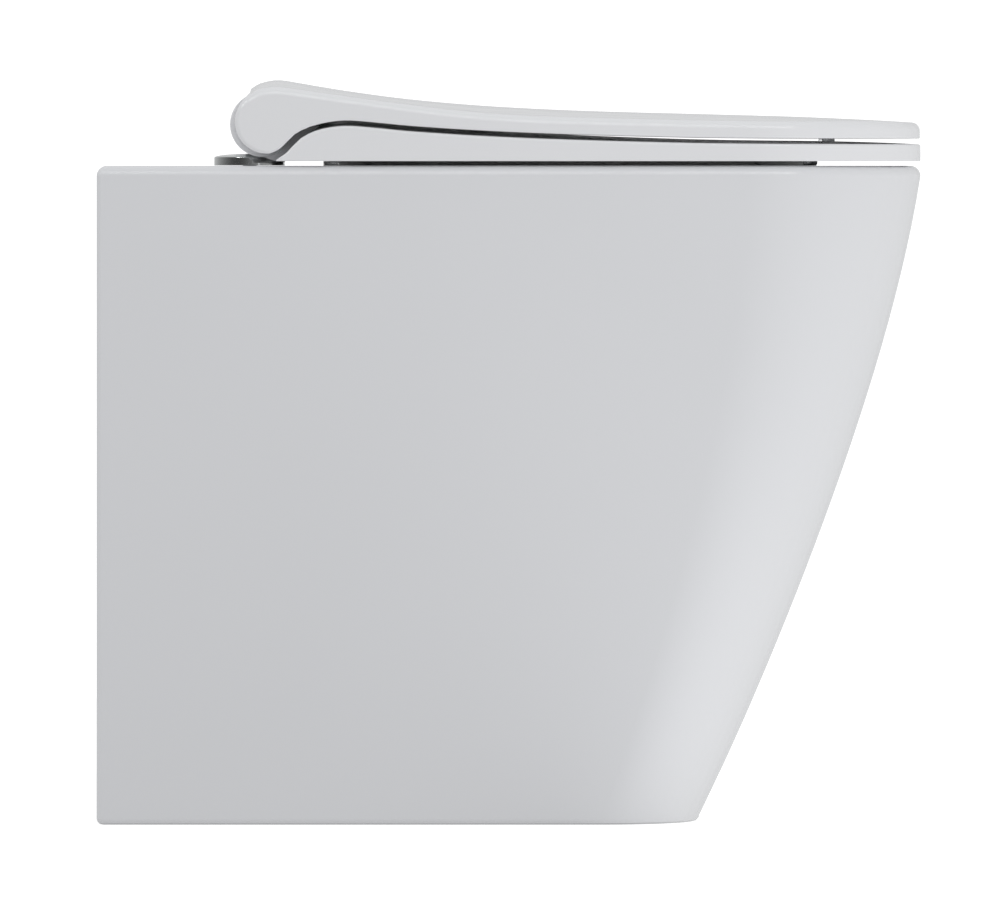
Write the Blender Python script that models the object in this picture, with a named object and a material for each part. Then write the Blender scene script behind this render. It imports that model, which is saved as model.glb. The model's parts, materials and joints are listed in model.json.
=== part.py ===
"""Back-to-wall toilet pan with a slim wrap-over seat and lid, as separate pieces.

Metres, +Z up. The floor is z = 0, the front faces -Y, the wall face is y = +DEPTH / 2, and the
object is symmetric about x = 0. Distances called "depth" are measured forward from the wall face.
"""
from math import cos, pi, radians, sin

import bmesh
import bpy
from mathutils import Matrix, Vector

# ---------------------------------------------------------------- driving dimensions
DEPTH = 0.520  # wall face to the foremost point of the pan
HALF_WIDTH = 0.180
RIM = 0.4145  # height of the flat deck and rim
WALL = 0.012  # ceramic thickness of the skirt
DECK = 0.018  # ceramic thickness of the deck
RIM_FILLET = 0.0065
FOOT_FILLET = 0.0025

AXIS_Y = DEPTH / 2 - 0.1041  # hinge line of seat and lid
AXIS_Z = RIM + 0.0260
ROLL_R = 0.0204  # the hinge roll that seat lugs and housings form together
ROLL_CLEAR_R = 0.0209  # lid skin above the roll
HINGE_X = 0.0775  # half of the 155 mm hole spacing
ROSE_Y = DEPTH / 2 - 0.0953
ROSE_R = 0.022
GAP = 0.0003  # between touching pieces

MIDDLE_ROLL = 0.0514  # seat roll between the housings reaches to this |x|
HOUSING_IN, HOUSING_OUT = 0.0520, 0.1060
LUG_IN, LUG_OUT = 0.1072, 0.1494
CHEEK_IN = 0.1500
PIN_R, PIN_BORE_R = 0.0040, 0.0044
PIN_IN, PIN_OUT = 0.0890, 0.1660
DAMPER_R = 0.0110
POST_R, POST_GROOVE_R = 0.0055, 0.0042
BOLT_R = 0.0040
BUTTON_R = 0.0050

SEAT_LIFT = 0.0029  # clear height between rim and seat
SEAT_NOSE = 0.110  # length of the half-ellipse of seat and lid
SEAT_LIP = (0.1419, 0.4544)  # depth of the rear and front of the lip round the opening
SEAT_LIP_HALF_WIDTH = 0.118
LIP = 0.005
SKIRT = 0.005  # thickness of the lid's side skirt
LID_SKIN = 0.0045
LID_FRONT = 0.5196

BOWL_WALL = 0.010
BOWL_FOOT = 0.200  # below this height the bowl's wall belongs to the trapway
WATER_BORE_R, WATER_TUBE_R = 0.038, 0.047
OUTLET_Z, OUTLET_R, OUTLET_BORE_R = 0.190, 0.051, 0.042
OUTLET_DEPTH = 0.035  # spigot end to wall face
INLET_Z, INLET_R, INLET_BORE_R = 0.345, 0.036, 0.0275
INLET_DEPTH = 0.060
INLET_FRONT_Y = 0.086
FLUSH_SLOT = ((-0.028, 0.050, 0.333), (0.028, 0.128, 0.357))
HINGE_HOLE_R = 0.0075
BRACKET_Y, BRACKET_BOLT_Z = 0.165, 0.030

SMOOTH = radians(30)

# ---------------------------------------------------------------- scene and materials
for old in list(bpy.data.objects):
    bpy.data.objects.remove(old, do_unlink=True)

PARTS = bpy.data.collections.new("back_to_wall_toilet")
CUTTERS = bpy.data.collections.new("cutters")
bpy.context.scene.collection.children.link(PARTS)
bpy.context.scene.collection.children.link(CUTTERS)

FINISH = {  # name: colour, roughness, metallic
    "ceramic": ((0.86, 0.86, 0.87), 0.08, 0.0),
    "seat_plastic": ((0.87, 0.87, 0.88), 0.15, 0.0),
    "chrome": ((0.72, 0.73, 0.73), 0.06, 1.0),
    "steel": ((0.55, 0.55, 0.56), 0.30, 1.0),
    "rubber": ((0.10, 0.10, 0.10), 0.70, 0.0),
    "buffer": ((0.62, 0.63, 0.64), 0.55, 0.0),
    "nylon": ((0.80, 0.80, 0.76), 0.45, 0.0),
    "damper_case": ((0.20, 0.21, 0.23), 0.40, 0.0),
}


def add_material(obj, finish):
    """Give the piece its own Principled material."""
    colour, roughness, metallic = FINISH[finish]
    material = bpy.data.materials.new(obj.name)
    material.use_nodes = True
    shader = material.node_tree.nodes["Principled BSDF"]
    shader.inputs["Base Color"].default_value = (*colour, 1.0)
    shader.inputs["Roughness"].default_value = roughness
    shader.inputs["Metallic"].default_value = metallic
    obj.data.materials.clear()
    obj.data.materials.append(material)


# ---------------------------------------------------------------- building blocks
def finish_object(name, bm, origin=(0, 0, 0), finish=None):
    """Store a bmesh whose points are world points as an object with the given origin."""
    bmesh.ops.recalc_face_normals(bm, faces=bm.faces)
    bmesh.ops.translate(bm, verts=bm.verts, vec=-Vector(origin))
    mesh = bpy.data.meshes.new(name)
    bm.to_mesh(mesh)
    bm.free()
    mesh.shade_smooth()
    mesh.set_sharp_from_angle(angle=SMOOTH)
    obj = bpy.data.objects.new(name, mesh)
    obj.location = origin
    if finish:
        PARTS.objects.link(obj)
        add_material(obj, finish)
    else:
        CUTTERS.objects.link(obj)
        obj.hide_render = True
        obj.display_type = "WIRE"
    return obj


def combine(obj, tool, operation="DIFFERENCE"):
    """Cut, join or intersect a piece with a tool that stays in the cutters' collection."""
    modifier = obj.modifiers.new(tool.name, "BOOLEAN")
    modifier.operation = operation
    modifier.object = tool
    modifier.solver = "EXACT"
    return obj


def loft(name, loops, **options):
    """Closed loops of equal count, joined side by side and capped at both ends."""
    bm = bmesh.new()
    rings = [[bm.verts.new(p) for p in loop] for loop in loops]
    for lower, upper in zip(rings, rings[1:]):
        for i in range(len(lower)):
            j = (i + 1) % len(lower)
            bm.faces.new((lower[i], lower[j], upper[j], upper[i]))
    bm.faces.new(rings[0])
    bm.faces.new(rings[-1])
    return finish_object(name, bm, **options)


def prism_x(name, outline, x_low, x_high, **options):
    """A (y, z) outline extruded along X."""
    return loft(name, [[(x, y, z) for y, z in outline] for x in (x_low, x_high)], **options)


def prism_z(name, outline, z_low, z_high, **options):
    """An (x, y) outline extruded along Z."""
    return loft(name, [[(x, y, z) for x, y in outline] for z in (z_low, z_high)], **options)


def box(name, low, high, **options):
    """A box between two corners."""
    bm = bmesh.new()
    bmesh.ops.create_cube(bm, size=1.0)
    size = Vector(high) - Vector(low)
    bmesh.ops.scale(bm, verts=bm.verts, vec=size)
    bmesh.ops.translate(bm, verts=bm.verts, vec=Vector(low) + size / 2)
    return finish_object(name, bm, **options)


TURN = {
    "X": Matrix.Rotation(pi / 2, 3, "Y"),
    "Y": Matrix.Rotation(-pi / 2, 3, "X"),
    "Z": Matrix.Identity(3),
}


def cylinder(name, axis, low, high, centre, radius, sides=24, **options):
    """A cylinder along X, Y or Z; centre holds the two other coordinates in order."""
    bm = bmesh.new()
    size = {"radius1": radius, "radius2": radius, "depth": high - low}
    bmesh.ops.create_cone(bm, cap_ends=True, segments=sides, **size)
    bmesh.ops.rotate(bm, verts=bm.verts, matrix=TURN[axis])
    place = list(centre)
    place.insert("XYZ".index(axis), (low + high) / 2)
    bmesh.ops.translate(bm, verts=bm.verts, vec=place)
    return finish_object(name, bm, **options)


def turned(name, profile, centre, finish, sides=28):
    """A solid of revolution about a vertical axis, from (radius, height) pairs above centre."""
    x, y, z = centre
    loops = []
    for radius, height in profile:
        angles = [2 * pi * k / sides for k in range(sides)]
        loops.append([(x + radius * cos(a), y + radius * sin(a), z + height) for a in angles])
    return loft(name, loops, origin=centre, finish=finish)


def tube(name, points, radius, resolution=4):
    """A closed mesh tube along a route of world points."""
    curve = bpy.data.curves.new(name, "CURVE")
    curve.dimensions = "3D"
    curve.bevel_depth = radius
    curve.bevel_resolution = resolution
    curve.use_fill_caps = True
    spline = curve.splines.new("POLY")
    spline.points.add(len(points) - 1)
    for point, place in zip(spline.points, points):
        point.co = (*place, 1.0)
    guide = bpy.data.objects.new(name + "_route", curve)
    CUTTERS.objects.link(guide)
    evaluated = guide.evaluated_get(bpy.context.evaluated_depsgraph_get())
    mesh = bpy.data.meshes.new_from_object(evaluated)
    bpy.data.objects.remove(guide, do_unlink=True)
    bm = bmesh.new()
    bm.from_mesh(mesh)
    bpy.data.meshes.remove(mesh)
    bmesh.ops.remove_doubles(bm, verts=bm.verts, dist=1e-6)
    return bm


def smooth_curve(points, value):
    """Height at a depth, on the Catmull-Rom curve through (depth, height) points."""
    if value <= points[0][0]:
        return points[0][1]
    if value >= points[-1][0]:
        return points[-1][1]
    i = max(k for k in range(len(points) - 1) if points[k][0] <= value)
    (x0, y0), (x1, y1) = points[i], points[i + 1]
    before = points[i - 1] if i else points[i]
    after = points[i + 2] if i + 2 < len(points) else points[i + 1]
    slope_in = (y1 - before[1]) / (x1 - before[0]) * (x1 - x0)
    slope_out = (after[1] - y0) / (after[0] - x0) * (x1 - x0)
    t = (value - x0) / (x1 - x0)
    return (
        y0 * (2 * t**3 - 3 * t**2 + 1)
        + slope_in * (t**3 - 2 * t**2 + t)
        + y1 * (3 * t**2 - 2 * t**3)
        + slope_out * (t**3 - t**2)
    )


def superellipse(centre_y, half_length, half_width, power, count):
    """A rounded (x, y) outline, counter-clockwise."""
    points = []
    for k in range(count):
        angle = 2 * pi * k / count
        c, s = cos(angle), sin(angle)
        scale = (abs(c) ** power + abs(s) ** power) ** (-1 / power)
        points.append((half_width * c * scale, centre_y + half_length * s * scale))
    return points


# ---------------------------------------------------------------- plan outline of pan, seat, lid
def plan_outline(front_depth, nose, inset=0.0, rear_y=DEPTH / 2, corner=0.0, segments=24):
    """Parallel sides with a half-ellipse front: (x, y) points from the rear right corner on."""
    side = HALF_WIDTH - inset
    rear = rear_y - inset
    ellipse_y = DEPTH / 2 - front_depth + nose
    length = nose - inset
    right = []
    if corner:
        for k in range(3):
            angle = radians(90 - 45 * k)
            right.append((side - corner + corner * cos(angle), rear - corner + corner * sin(angle)))
    else:
        right.append((side, rear))
    front = []
    for k in range(segments + 1):
        angle = -pi * k / segments
        front.append((side * cos(angle), ellipse_y + length * sin(angle)))
    left = [(-x, y) for x, y in reversed(right)]
    return right + front + left


def pan_front(z):
    """Depth of the pan's front at a height."""
    return 0.3781 + 0.4943 * z - 0.4724 * z**2 + 0.831 * z**3 - 1.356 * z**4


def pan_nose(z):
    """Length of the half-ellipse at a height."""
    return 0.063 + 0.113 * z


def pan_loop(z, inset=0.0, rear_y=DEPTH / 2, corner=0.003, profile_z=None):
    """The skirt's outline at a height."""
    at = z if profile_z is None else profile_z
    return [(x, y, z) for x, y in plan_outline(pan_front(at), pan_nose(at), inset, rear_y, corner)]


# ---------------------------------------------------------------- pan
BOWL = (  # height, centre y, half length, half width of the bowl's inside
    (0.118, -0.0720, 0.0300, 0.0340),
    (0.150, -0.0740, 0.0480, 0.0490),
    (0.195, -0.0690, 0.0610, 0.0600),
    (0.240, -0.0660, 0.0800, 0.0740),
    (0.285, -0.0590, 0.1110, 0.0940),
    (0.330, -0.0590, 0.1370, 0.1160),
    (0.375, -0.0610, 0.1540, 0.1310),
    (RIM + 0.004, -0.0615, 0.1565, 0.1340),
)
BOWL_POWER = 2.3  # of the superellipse outlines


def bowl_solid(name, low, high, grow=0.0, **options):
    """The bowl between two heights as rounded outlines; grow makes the outside form."""
    columns = [[(row[0], row[k]) for row in BOWL] for k in (1, 2, 3)]
    heights = [low] + [z for z in (0.15, 0.18, 0.21, 0.24, 0.27, 0.30, 0.33, 0.36) if low < z < high]
    loops = []
    for z in heights + [high]:
        centre, half_length, half_width = (smooth_curve(column, z) for column in columns)
        outline = superellipse(centre, half_length + grow, half_width + grow, BOWL_POWER, 32)
        loops.append([(x, y, z) for x, y in outline])
    return loft(name, loops, **options)


def bowl_inside():
    """The hollow that runs from above the rim down to the sump."""
    return bowl_solid("bowl_inside", BOWL[0][0], BOWL[-1][0])


def arc(centre, radius, first, last, count):
    """(y, z) points on an arc, angles in degrees."""
    angles = [radians(first + (last - first) * k / count) for k in range(count + 1)]
    return [(centre[0] + radius * cos(a), centre[1] + radius * sin(a)) for a in angles]


TRAP_ARCS = (  # centre (y, z), radius, first and last angle, pieces: dip, weir, fall to the spigot
    ((-0.030, 0.165), 0.055, -150, -25, 6),
    ((0.091, 0.188), 0.045, 155, 60, 6),
    ((0.1935, OUTLET_Z + 0.060), 0.060, -120, -90, 3),
)


def water_route(lead):
    """The trap's centre line, starting a lead length before the dip."""
    line = [point for item in TRAP_ARCS for point in arc(*item)]
    y, z = line[0]
    line.insert(0, (y - lead * cos(radians(60)), z + lead * sin(radians(60))))
    return [(0, y, z) for y, z in line]


def make_shroud():
    """Skirt and deck in one piece, open at the foot, at the rear and over the bowl."""
    levels = [(0.0, FOOT_FILLET, FOOT_FILLET), (FOOT_FILLET, 0.0, None)]
    levels += [(z, 0.0, None) for z in (0.04, 0.10, 0.17, 0.25, 0.33, RIM - RIM_FILLET)]
    for k in (1, 2, 3):
        angle = radians(30 * k)
        z = RIM - RIM_FILLET * (1 - sin(angle))
        levels.append((z, RIM_FILLET * (1 - cos(angle)), RIM - RIM_FILLET))
    loops = [pan_loop(z, inset, profile_z=at) for z, inset, at in levels]
    shroud = loft("pan_shroud", loops, finish="ceramic")

    heights = (-0.010, 0.10, 0.20, 0.30, RIM - DECK)
    hollow = [pan_loop(z, WALL, DEPTH / 2 + 0.06, 0.004, max(z, 0.0)) for z in heights]
    combine(shroud, loft("skirt_hollow", hollow))
    combine(shroud, bowl_inside())
    for side, word in SIDES:
        centre = (side * HINGE_X, ROSE_Y)
        hole = cylinder("hinge_hole_" + word, "Z", RIM - 0.05, RIM + 0.01, centre, HINGE_HOLE_R, 16)
        combine(shroud, hole)
        ends = sorted((side * (HALF_WIDTH - WALL - 0.01), side * (HALF_WIDTH - 0.005)))
        centre = (BRACKET_Y, BRACKET_BOLT_Z)
        combine(shroud, cylinder("bracket_hole_" + word, "X", *ends, centre, 0.0045, 12))


def make_bowl():
    """The bowl's wall from the deck's underside down to where the trapway takes over."""
    top = RIM - DECK - GAP
    bowl = bowl_solid("pan_bowl", BOWL_FOOT, top, BOWL_WALL, finish="ceramic")
    combine(bowl, bowl_inside())
    combine(bowl, finish_object("trap_clear", tube("trap_clear", water_route(0.010), WATER_TUBE_R + GAP)))
    combine(bowl, box("flush_slot", *FLUSH_SLOT))


def make_trapway():
    """Sump, dip, weir and outlet spigot."""
    low = BOWL[0][0] - BOWL_WALL
    trapway = bowl_solid("pan_trapway", low, BOWL_FOOT - GAP, BOWL_WALL, finish="ceramic")
    outside = tube("trap_outside", water_route(0.010), WATER_TUBE_R)
    combine(trapway, finish_object("trap_outside", outside), "UNION")
    spigot_end = DEPTH / 2 - OUTLET_DEPTH
    spigot = cylinder("spigot", "Y", 0.165, spigot_end, (0, OUTLET_Z), OUTLET_R, 32)
    combine(trapway, spigot, "UNION")
    combine(trapway, bowl_inside())
    bore = water_route(0.0) + [(0, spigot_end - 0.020, OUTLET_Z)]
    combine(trapway, finish_object("trap_inside", tube("trap_inside", bore, WATER_BORE_R)))
    ends = (spigot_end - 0.030, spigot_end + 0.01)
    combine(trapway, cylinder("outlet_bore", "Y", *ends, (0, OUTLET_Z), OUTLET_BORE_R, 32))


def make_inlet():
    """Boss behind the bowl that takes the flush pipe and leads to the slot in the bowl's wall."""
    rear = DEPTH / 2 - INLET_DEPTH
    inlet = cylinder("pan_inlet", "Y", INLET_FRONT_Y, rear, (0, INLET_Z), INLET_R, 28, finish="ceramic")
    bowl_clear = bowl_solid("bowl_clear", BOWL_FOOT, RIM - DECK, BOWL_WALL + GAP)
    combine(inlet, bowl_clear)
    bore = cylinder("inlet_bore", "Y", 0.118, rear + 0.01, (0, INLET_Z), INLET_BORE_R, 28)
    combine(inlet, bore)
    combine(inlet, box("inlet_slot", *FLUSH_SLOT))


# ---------------------------------------------------------------- seat ring
SEAT_TOP = (  # depth, height above the rim of the seat's outer top edge
    (0.1130, 0.0038), (0.1175, 0.0068), (0.1210, 0.0096), (0.1245, 0.0137), (0.1285, 0.0174),
    (0.1345, 0.0207), (0.1430, 0.0234), (0.1560, 0.0250), (0.1700, 0.0242), (0.2000, 0.0214),
    (0.2540, 0.0181), (0.3200, 0.0157), (0.4000, 0.0140), (0.5250, 0.0136),
)
LID_GAP = 0.0035  # clear height between the seat's edge and the lid's edge


def depth_stations(first, last, knots):
    """Depths at which a profile is sampled: dense near the hinge, sparse towards the front."""
    return [first] + [k for k in knots if first < k < last] + [last]


SEAT_KNOTS = [d for d, _ in SEAT_TOP] + [0.149, 0.163, 0.185, 0.225, 0.287, 0.360]


def make_seat():
    """Ring with a down-turned lip round its opening, and the roll's lugs at the rear."""
    stations = depth_stations(0.113, 0.521, sorted(SEAT_KNOTS))
    top = [(DEPTH / 2 - d, RIM + smooth_curve(SEAT_TOP, d)) for d in stations]
    low = RIM + SEAT_LIFT
    outline = top + [(DEPTH / 2 - 0.521, low), (DEPTH / 2 - 0.113, low)]
    seat = prism_x("seat_ring", outline, -0.19, 0.19, origin=(0, AXIS_Y, AXIS_Z), finish="seat_plastic")
    plan = plan_outline(DEPTH, SEAT_NOSE, 0.0, DEPTH / 2 - 0.112, 0.0)
    combine(seat, prism_z("seat_plan", plan, RIM - 0.02, RIM + 0.06), "INTERSECT")

    rear, front = SEAT_LIP
    middle, half = DEPTH / 2 - (rear + front) / 2, (front - rear) / 2
    lip = superellipse(middle, half, SEAT_LIP_HALF_WIDTH, BOWL_POWER, 40)
    combine(seat, prism_z("seat_lip", lip, RIM + 0.0006, low + 0.004), "UNION")
    web = [  # joins each roll to the ring in front of it
        (AXIS_Y, AXIS_Z - ROLL_R + 0.0004), (AXIS_Y - 0.008, low), (AXIS_Y - 0.045, low),
        (AXIS_Y - 0.045, RIM + 0.0225), (AXIS_Y - 0.018, RIM + 0.0290),
    ]
    for name, x_low, x_high in (
        ("middle_roll", -MIDDLE_ROLL, MIDDLE_ROLL),
        ("lug_roll_right", LUG_IN, LUG_OUT),
        ("lug_roll_left", -LUG_OUT, -LUG_IN),
    ):
        roll = cylinder(name, "X", x_low, x_high, (AXIS_Y, AXIS_Z), ROLL_R, 32)
        combine(roll, prism_x(name + "_web", web, x_low, x_high), "UNION")
        combine(seat, roll, "UNION")
    opening = superellipse(middle, half - LIP, SEAT_LIP_HALF_WIDTH - LIP, BOWL_POWER, 40)
    combine(seat, prism_z("seat_opening", opening, RIM - 0.02, RIM + 0.06))
    channel_out = plan_outline(DEPTH, SEAT_NOSE, 0.007, DEPTH / 2 - 0.1512, 0.0)
    groove = prism_z("seat_channel", channel_out, RIM - 0.02, RIM + 0.0085)
    island = superellipse(middle, half - GAP, SEAT_LIP_HALF_WIDTH - GAP, BOWL_POWER, 40)
    combine(groove, prism_z("seat_island", island, RIM - 0.03, RIM + 0.02))
    combine(seat, groove)
    for side, word in SIDES:
        near, far = sorted((side * (HOUSING_IN - 0.0006), side * (HOUSING_OUT + 0.0012)))
        corners = ((near, AXIS_Y - 0.017, RIM), (far, AXIS_Y + 0.03, RIM + 0.06))
        combine(seat, box("housing_clear_" + word, *corners))
        ends = sorted((side * (LUG_IN - 0.01), side * (LUG_OUT + 0.01)))
        combine(seat, cylinder("lug_bore_" + word, "X", *ends, (AXIS_Y, AXIS_Z), PIN_BORE_R, 24))
        ends = sorted((side * (LUG_IN + 0.004), side * (LUG_OUT + 0.01)))
        combine(seat, cylinder("damper_bore_" + word, "X", *ends, (AXIS_Y, AXIS_Z), DAMPER_R + GAP, 24))


# ---------------------------------------------------------------- lid
LID_CROWN = (  # depth, height above the rim on the centre line
    (0.0975, 0.0500), (0.1020, 0.0522), (0.1090, 0.0539), (0.1150, 0.0542), (0.1230, 0.0530),
    (0.1410, 0.0499), (0.1600, 0.0469), (0.1915, 0.0427), (0.2290, 0.0391), (0.2670, 0.0366),
    (0.3170, 0.0345), (0.3800, 0.0328), (0.4430, 0.0310), (0.4900, 0.0289), (0.5196, 0.0272),
)
LID_EDGE = (  # depth, height above the rim where the crown meets the side face
    (0.0975, 0.0462), (0.1020, 0.0481), (0.1090, 0.0491), (0.1150, 0.0493), (0.1230, 0.0483),
    (0.1410, 0.0458), (0.1600, 0.0431), (0.1915, 0.0388), (0.2290, 0.0343), (0.2670, 0.0315),
    (0.3170, 0.0299), (0.3800, 0.0284), (0.4430, 0.0275), (0.4900, 0.0271), (0.5196, 0.0262),
)
LID_STATIONS = [d for d, _ in LID_CROWN] + [0.1320, 0.1500, 0.1750, 0.2100, 0.2900, 0.3480, 0.4100]


CHEEK_NECK = (  # depth, height above the rim from the cheek's lower arc to the lid's skirt
    (0.1245, 0.0197), (0.1285, 0.0221), (0.1345, 0.0247), (0.1415, 0.0266), (0.1415, 0.0400),
)


def lid_loops(first, last, half_width, drop, bottom):
    """Cross-sections of the lid's form: flat bottom, upright sides, crowned top."""
    loops = []
    for d in depth_stations(first, last, sorted(LID_STATIONS)):
        crown, edge = smooth_curve(LID_CROWN, d), smooth_curve(LID_EDGE, d)
        y, low = DEPTH / 2 - d, RIM + bottom(d)
        loop = [(-half_width, y, low), (half_width, y, low)]
        for k in range(9):
            x = half_width * (1 - k / 4)
            across = min(abs(x) / HALF_WIDTH, 1.0)
            loop.append((x, y, RIM + edge + (crown - edge) * (1 - across**2) - drop))
        loops.append(loop)
    return loops


def lid_bottom(d):
    """Lower edge of the lid's skirt, parallel to the seat's top edge."""
    return smooth_curve(SEAT_TOP, max(d, 0.1415)) + LID_GAP


def make_lid():
    """Crowned shell with a side skirt that wraps over the seat, and two cheeks at the hinge."""
    loops = lid_loops(0.0975, LID_FRONT, 0.19, 0.0, lid_bottom)
    lid = loft("lid", loops, origin=(0, AXIS_Y, AXIS_Z), finish="seat_plastic")
    plan = plan_outline(LID_FRONT, SEAT_NOSE, 0.0, DEPTH / 2 - 0.0975, 0.0)
    combine(lid, prism_z("lid_plan", plan, RIM - 0.02, RIM + 0.08), "INTERSECT")

    def flat_bottom(_):
        return -0.010

    inner = loft("lid_hollow", lid_loops(0.1340, 0.514, 0.19, LID_SKIN, flat_bottom))
    inner_plan = plan_outline(LID_FRONT, SEAT_NOSE, SKIRT, DEPTH / 2 - 0.1290, 0.0)
    combine(inner, prism_z("lid_hollow_plan", inner_plan, RIM - 0.03, RIM + 0.08), "INTERSECT")
    combine(lid, inner)
    inside = CHEEK_IN
    combine(lid, loft("lid_rear_hollow", lid_loops(0.1041, 0.1420, inside, LID_SKIN, flat_bottom)))
    combine(lid, cylinder("roll_clear", "X", -inside, inside, (AXIS_Y, AXIS_Z), ROLL_CLEAR_R, 48))
    corners = ((-inside, AXIS_Y - 0.001, RIM - 0.02), (inside, AXIS_Y + 0.05, AXIS_Z + 0.015))
    combine(lid, box("roll_under", *corners))

    hub = (DEPTH / 2 - 0.1071, RIM + 0.0278)
    cheek = arc(hub, 0.0203, 92, -82, 14)
    cheek += arc((AXIS_Y, AXIS_Z), 0.0189, -103, -145, 4)
    cheek += [(DEPTH / 2 - d, RIM + height) for d, height in CHEEK_NECK]
    for side, word in SIDES:
        ends = sorted((side * inside, side * HALF_WIDTH))
        combine(lid, prism_x("cheek_" + word, cheek, *ends), "UNION")
        ends = sorted((side * (inside - 0.005), side * 0.1684))
        combine(lid, cylinder("cheek_bore_" + word, "X", *ends, (AXIS_Y, AXIS_Z), 0.0068, 24))


# ---------------------------------------------------------------- hinges
def make_hinge(side, word):
    """One hinge: rose and bolt on the deck, post, housing, damper, pin and release button."""
    x = side * HINGE_X

    def span(low, high):
        return sorted((side * low, side * high))

    def bored(name, axis, low, high, centre, radius, bore, finish, sides=24):
        piece = cylinder(name, axis, low, high, centre, radius, sides, finish=finish)
        cutter = cylinder(name + "_bore", axis, low - 0.01, high + 0.01, centre, bore, sides)
        return combine(piece, cutter)

    bored("rose_gasket_" + word, "Z", RIM + GAP, RIM + 0.0009, (x, ROSE_Y), 0.0213, 0.009, "rubber", 32)
    profile = [(0.0213, 0.0012), (ROSE_R, 0.0019), (ROSE_R, 0.0045), (0.0211, 0.0056)]
    profile += [(0.018, 0.0065), (0.011, 0.0073), (0.004, 0.0076)]
    rose = turned("hinge_rose_" + word, profile, (x, ROSE_Y, RIM), "chrome")
    post_seat = cylinder("post_socket_" + word, "Z", RIM + 0.0056, RIM + 0.02, (x, AXIS_Y), POST_R + GAP)
    combine(rose, post_seat)
    bolt_seat = cylinder("bolt_socket_" + word, "Z", RIM - 0.01, RIM + 0.0049, (x, ROSE_Y), BOLT_R + GAP)
    combine(rose, bolt_seat)

    post_top = AXIS_Z - RIM + 0.0075
    groove_low, groove_high = AXIS_Z - RIM - 0.0016, AXIS_Z - RIM + 0.0016
    profile = [(POST_R, 0.0059), (POST_R, groove_low), (POST_GROOVE_R, groove_low)]
    profile += [(POST_GROOVE_R, groove_high), (POST_R, groove_high), (POST_R, post_top - 0.0020)]
    turned("hinge_post_" + word, profile + [(0.0040, post_top)], (x, AXIS_Y, RIM), "chrome", 24)

    hole = (x, ROSE_Y)
    cylinder("hinge_bolt_" + word, "Z", RIM - 0.058, RIM + 0.0046, hole, BOLT_R, finish="steel")
    bored("bolt_sleeve_" + word, "Z", RIM - 0.0165, RIM - GAP, hole, 0.0071, BOLT_R + GAP, "rubber", 16)
    top = RIM - DECK - GAP
    bored("bolt_washer_" + word, "Z", top - 0.002, top, hole, 0.0140, BOLT_R + GAP, "nylon")
    top -= 0.002 + GAP
    nut = bored("wing_nut_" + word, "Z", top - 0.012, top, hole, 0.0085, BOLT_R + GAP, "nylon")
    corners = ((x - 0.018, ROSE_Y - 0.002, top - 0.012), (x + 0.018, ROSE_Y + 0.002, top - 0.003))
    wings = box("wings_" + word, *corners)
    combine(wings, cylinder("wing_bore_" + word, "Z", top - 0.02, top + 0.01, hole, 0.0060))
    combine(nut, wings, "UNION")

    line = (AXIS_Y, AXIS_Z)
    ends = span(HOUSING_IN, HOUSING_OUT)
    housing = cylinder("hinge_housing_" + word, "X", *ends, line, ROLL_R, 32, finish="seat_plastic")
    corners = ((x - 0.04, AXIS_Y - 0.03, RIM - 0.01), (x + 0.04, AXIS_Y + 0.03, RIM + 0.0088))
    combine(housing, box("foot_cut_" + word, *corners))
    combine(housing, cylinder("post_bore_" + word, "Z", RIM, AXIS_Z + 0.0082, (x, AXIS_Y), POST_R + 0.0004))
    combine(housing, cylinder("pin_bore_" + word, "X", *span(0.0886, 0.12), line, PIN_R + GAP))
    pocket = ((x - 0.0091, AXIS_Y - 0.0118, AXIS_Z - 0.0014), (x + 0.0091, AXIS_Y + 0.0113, AXIS_Z + 0.0014))
    combine(housing, box("catch_pocket_" + word, *pocket))
    rear = (x, AXIS_Z)
    ends = (AXIS_Y + 0.0100, AXIS_Y + 0.03)
    combine(housing, cylinder("button_bore_" + word, "Y", *ends, rear, BUTTON_R + GAP))
    ends = (AXIS_Y - 0.0157, AXIS_Y - 0.0080)
    combine(housing, cylinder("spring_bore_" + word, "Y", *ends, rear, 0.0034, 16))

    cylinder("hinge_pin_" + word, "X", *span(PIN_IN, PIN_OUT), line, PIN_R, finish="steel")
    ends = span(HOUSING_OUT + GAP, HOUSING_OUT + 0.0009)
    bored("thrust_washer_" + word, "X", *ends, line, 0.0100, PIN_BORE_R, "nylon")
    ends = span(LUG_IN + 0.0043, LUG_OUT - 0.0006)
    bored(DAMPERS[word], "X", *ends, line, DAMPER_R, PIN_BORE_R, "damper_case")
    bored("lid_bush_" + word, "X", *span(CHEEK_IN + GAP, 0.1681), line, 0.0065, PIN_BORE_R, "nylon")

    low, face = AXIS_Y + 0.0125, AXIS_Y + 0.0196
    options = {"finish": "chrome", "origin": (x, low, AXIS_Z)}
    button = cylinder("release_button_" + word, "Y", low, face, rear, BUTTON_R, **options)
    stem = cylinder("button_stem_" + word, "Y", low - 0.0017, low + 0.0005, rear, 0.0012, 12)
    combine(button, stem, "UNION")
    plate = ((x - 0.0085, AXIS_Y - 0.0090, AXIS_Z - 0.0010), (x + 0.0085, AXIS_Y + 0.0105, AXIS_Z + 0.0010))
    catch = box("release_catch_" + word, *plate, finish="steel")
    slot = [(x + sx, y) for sx, y in superellipse(AXIS_Y + 0.0017, 0.0063, 0.0060, 2.4, 24)]
    combine(catch, prism_z("catch_slot_" + word, slot, AXIS_Z - 0.01, AXIS_Z + 0.01))
    make_spring("release_spring_" + word, x)


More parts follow.
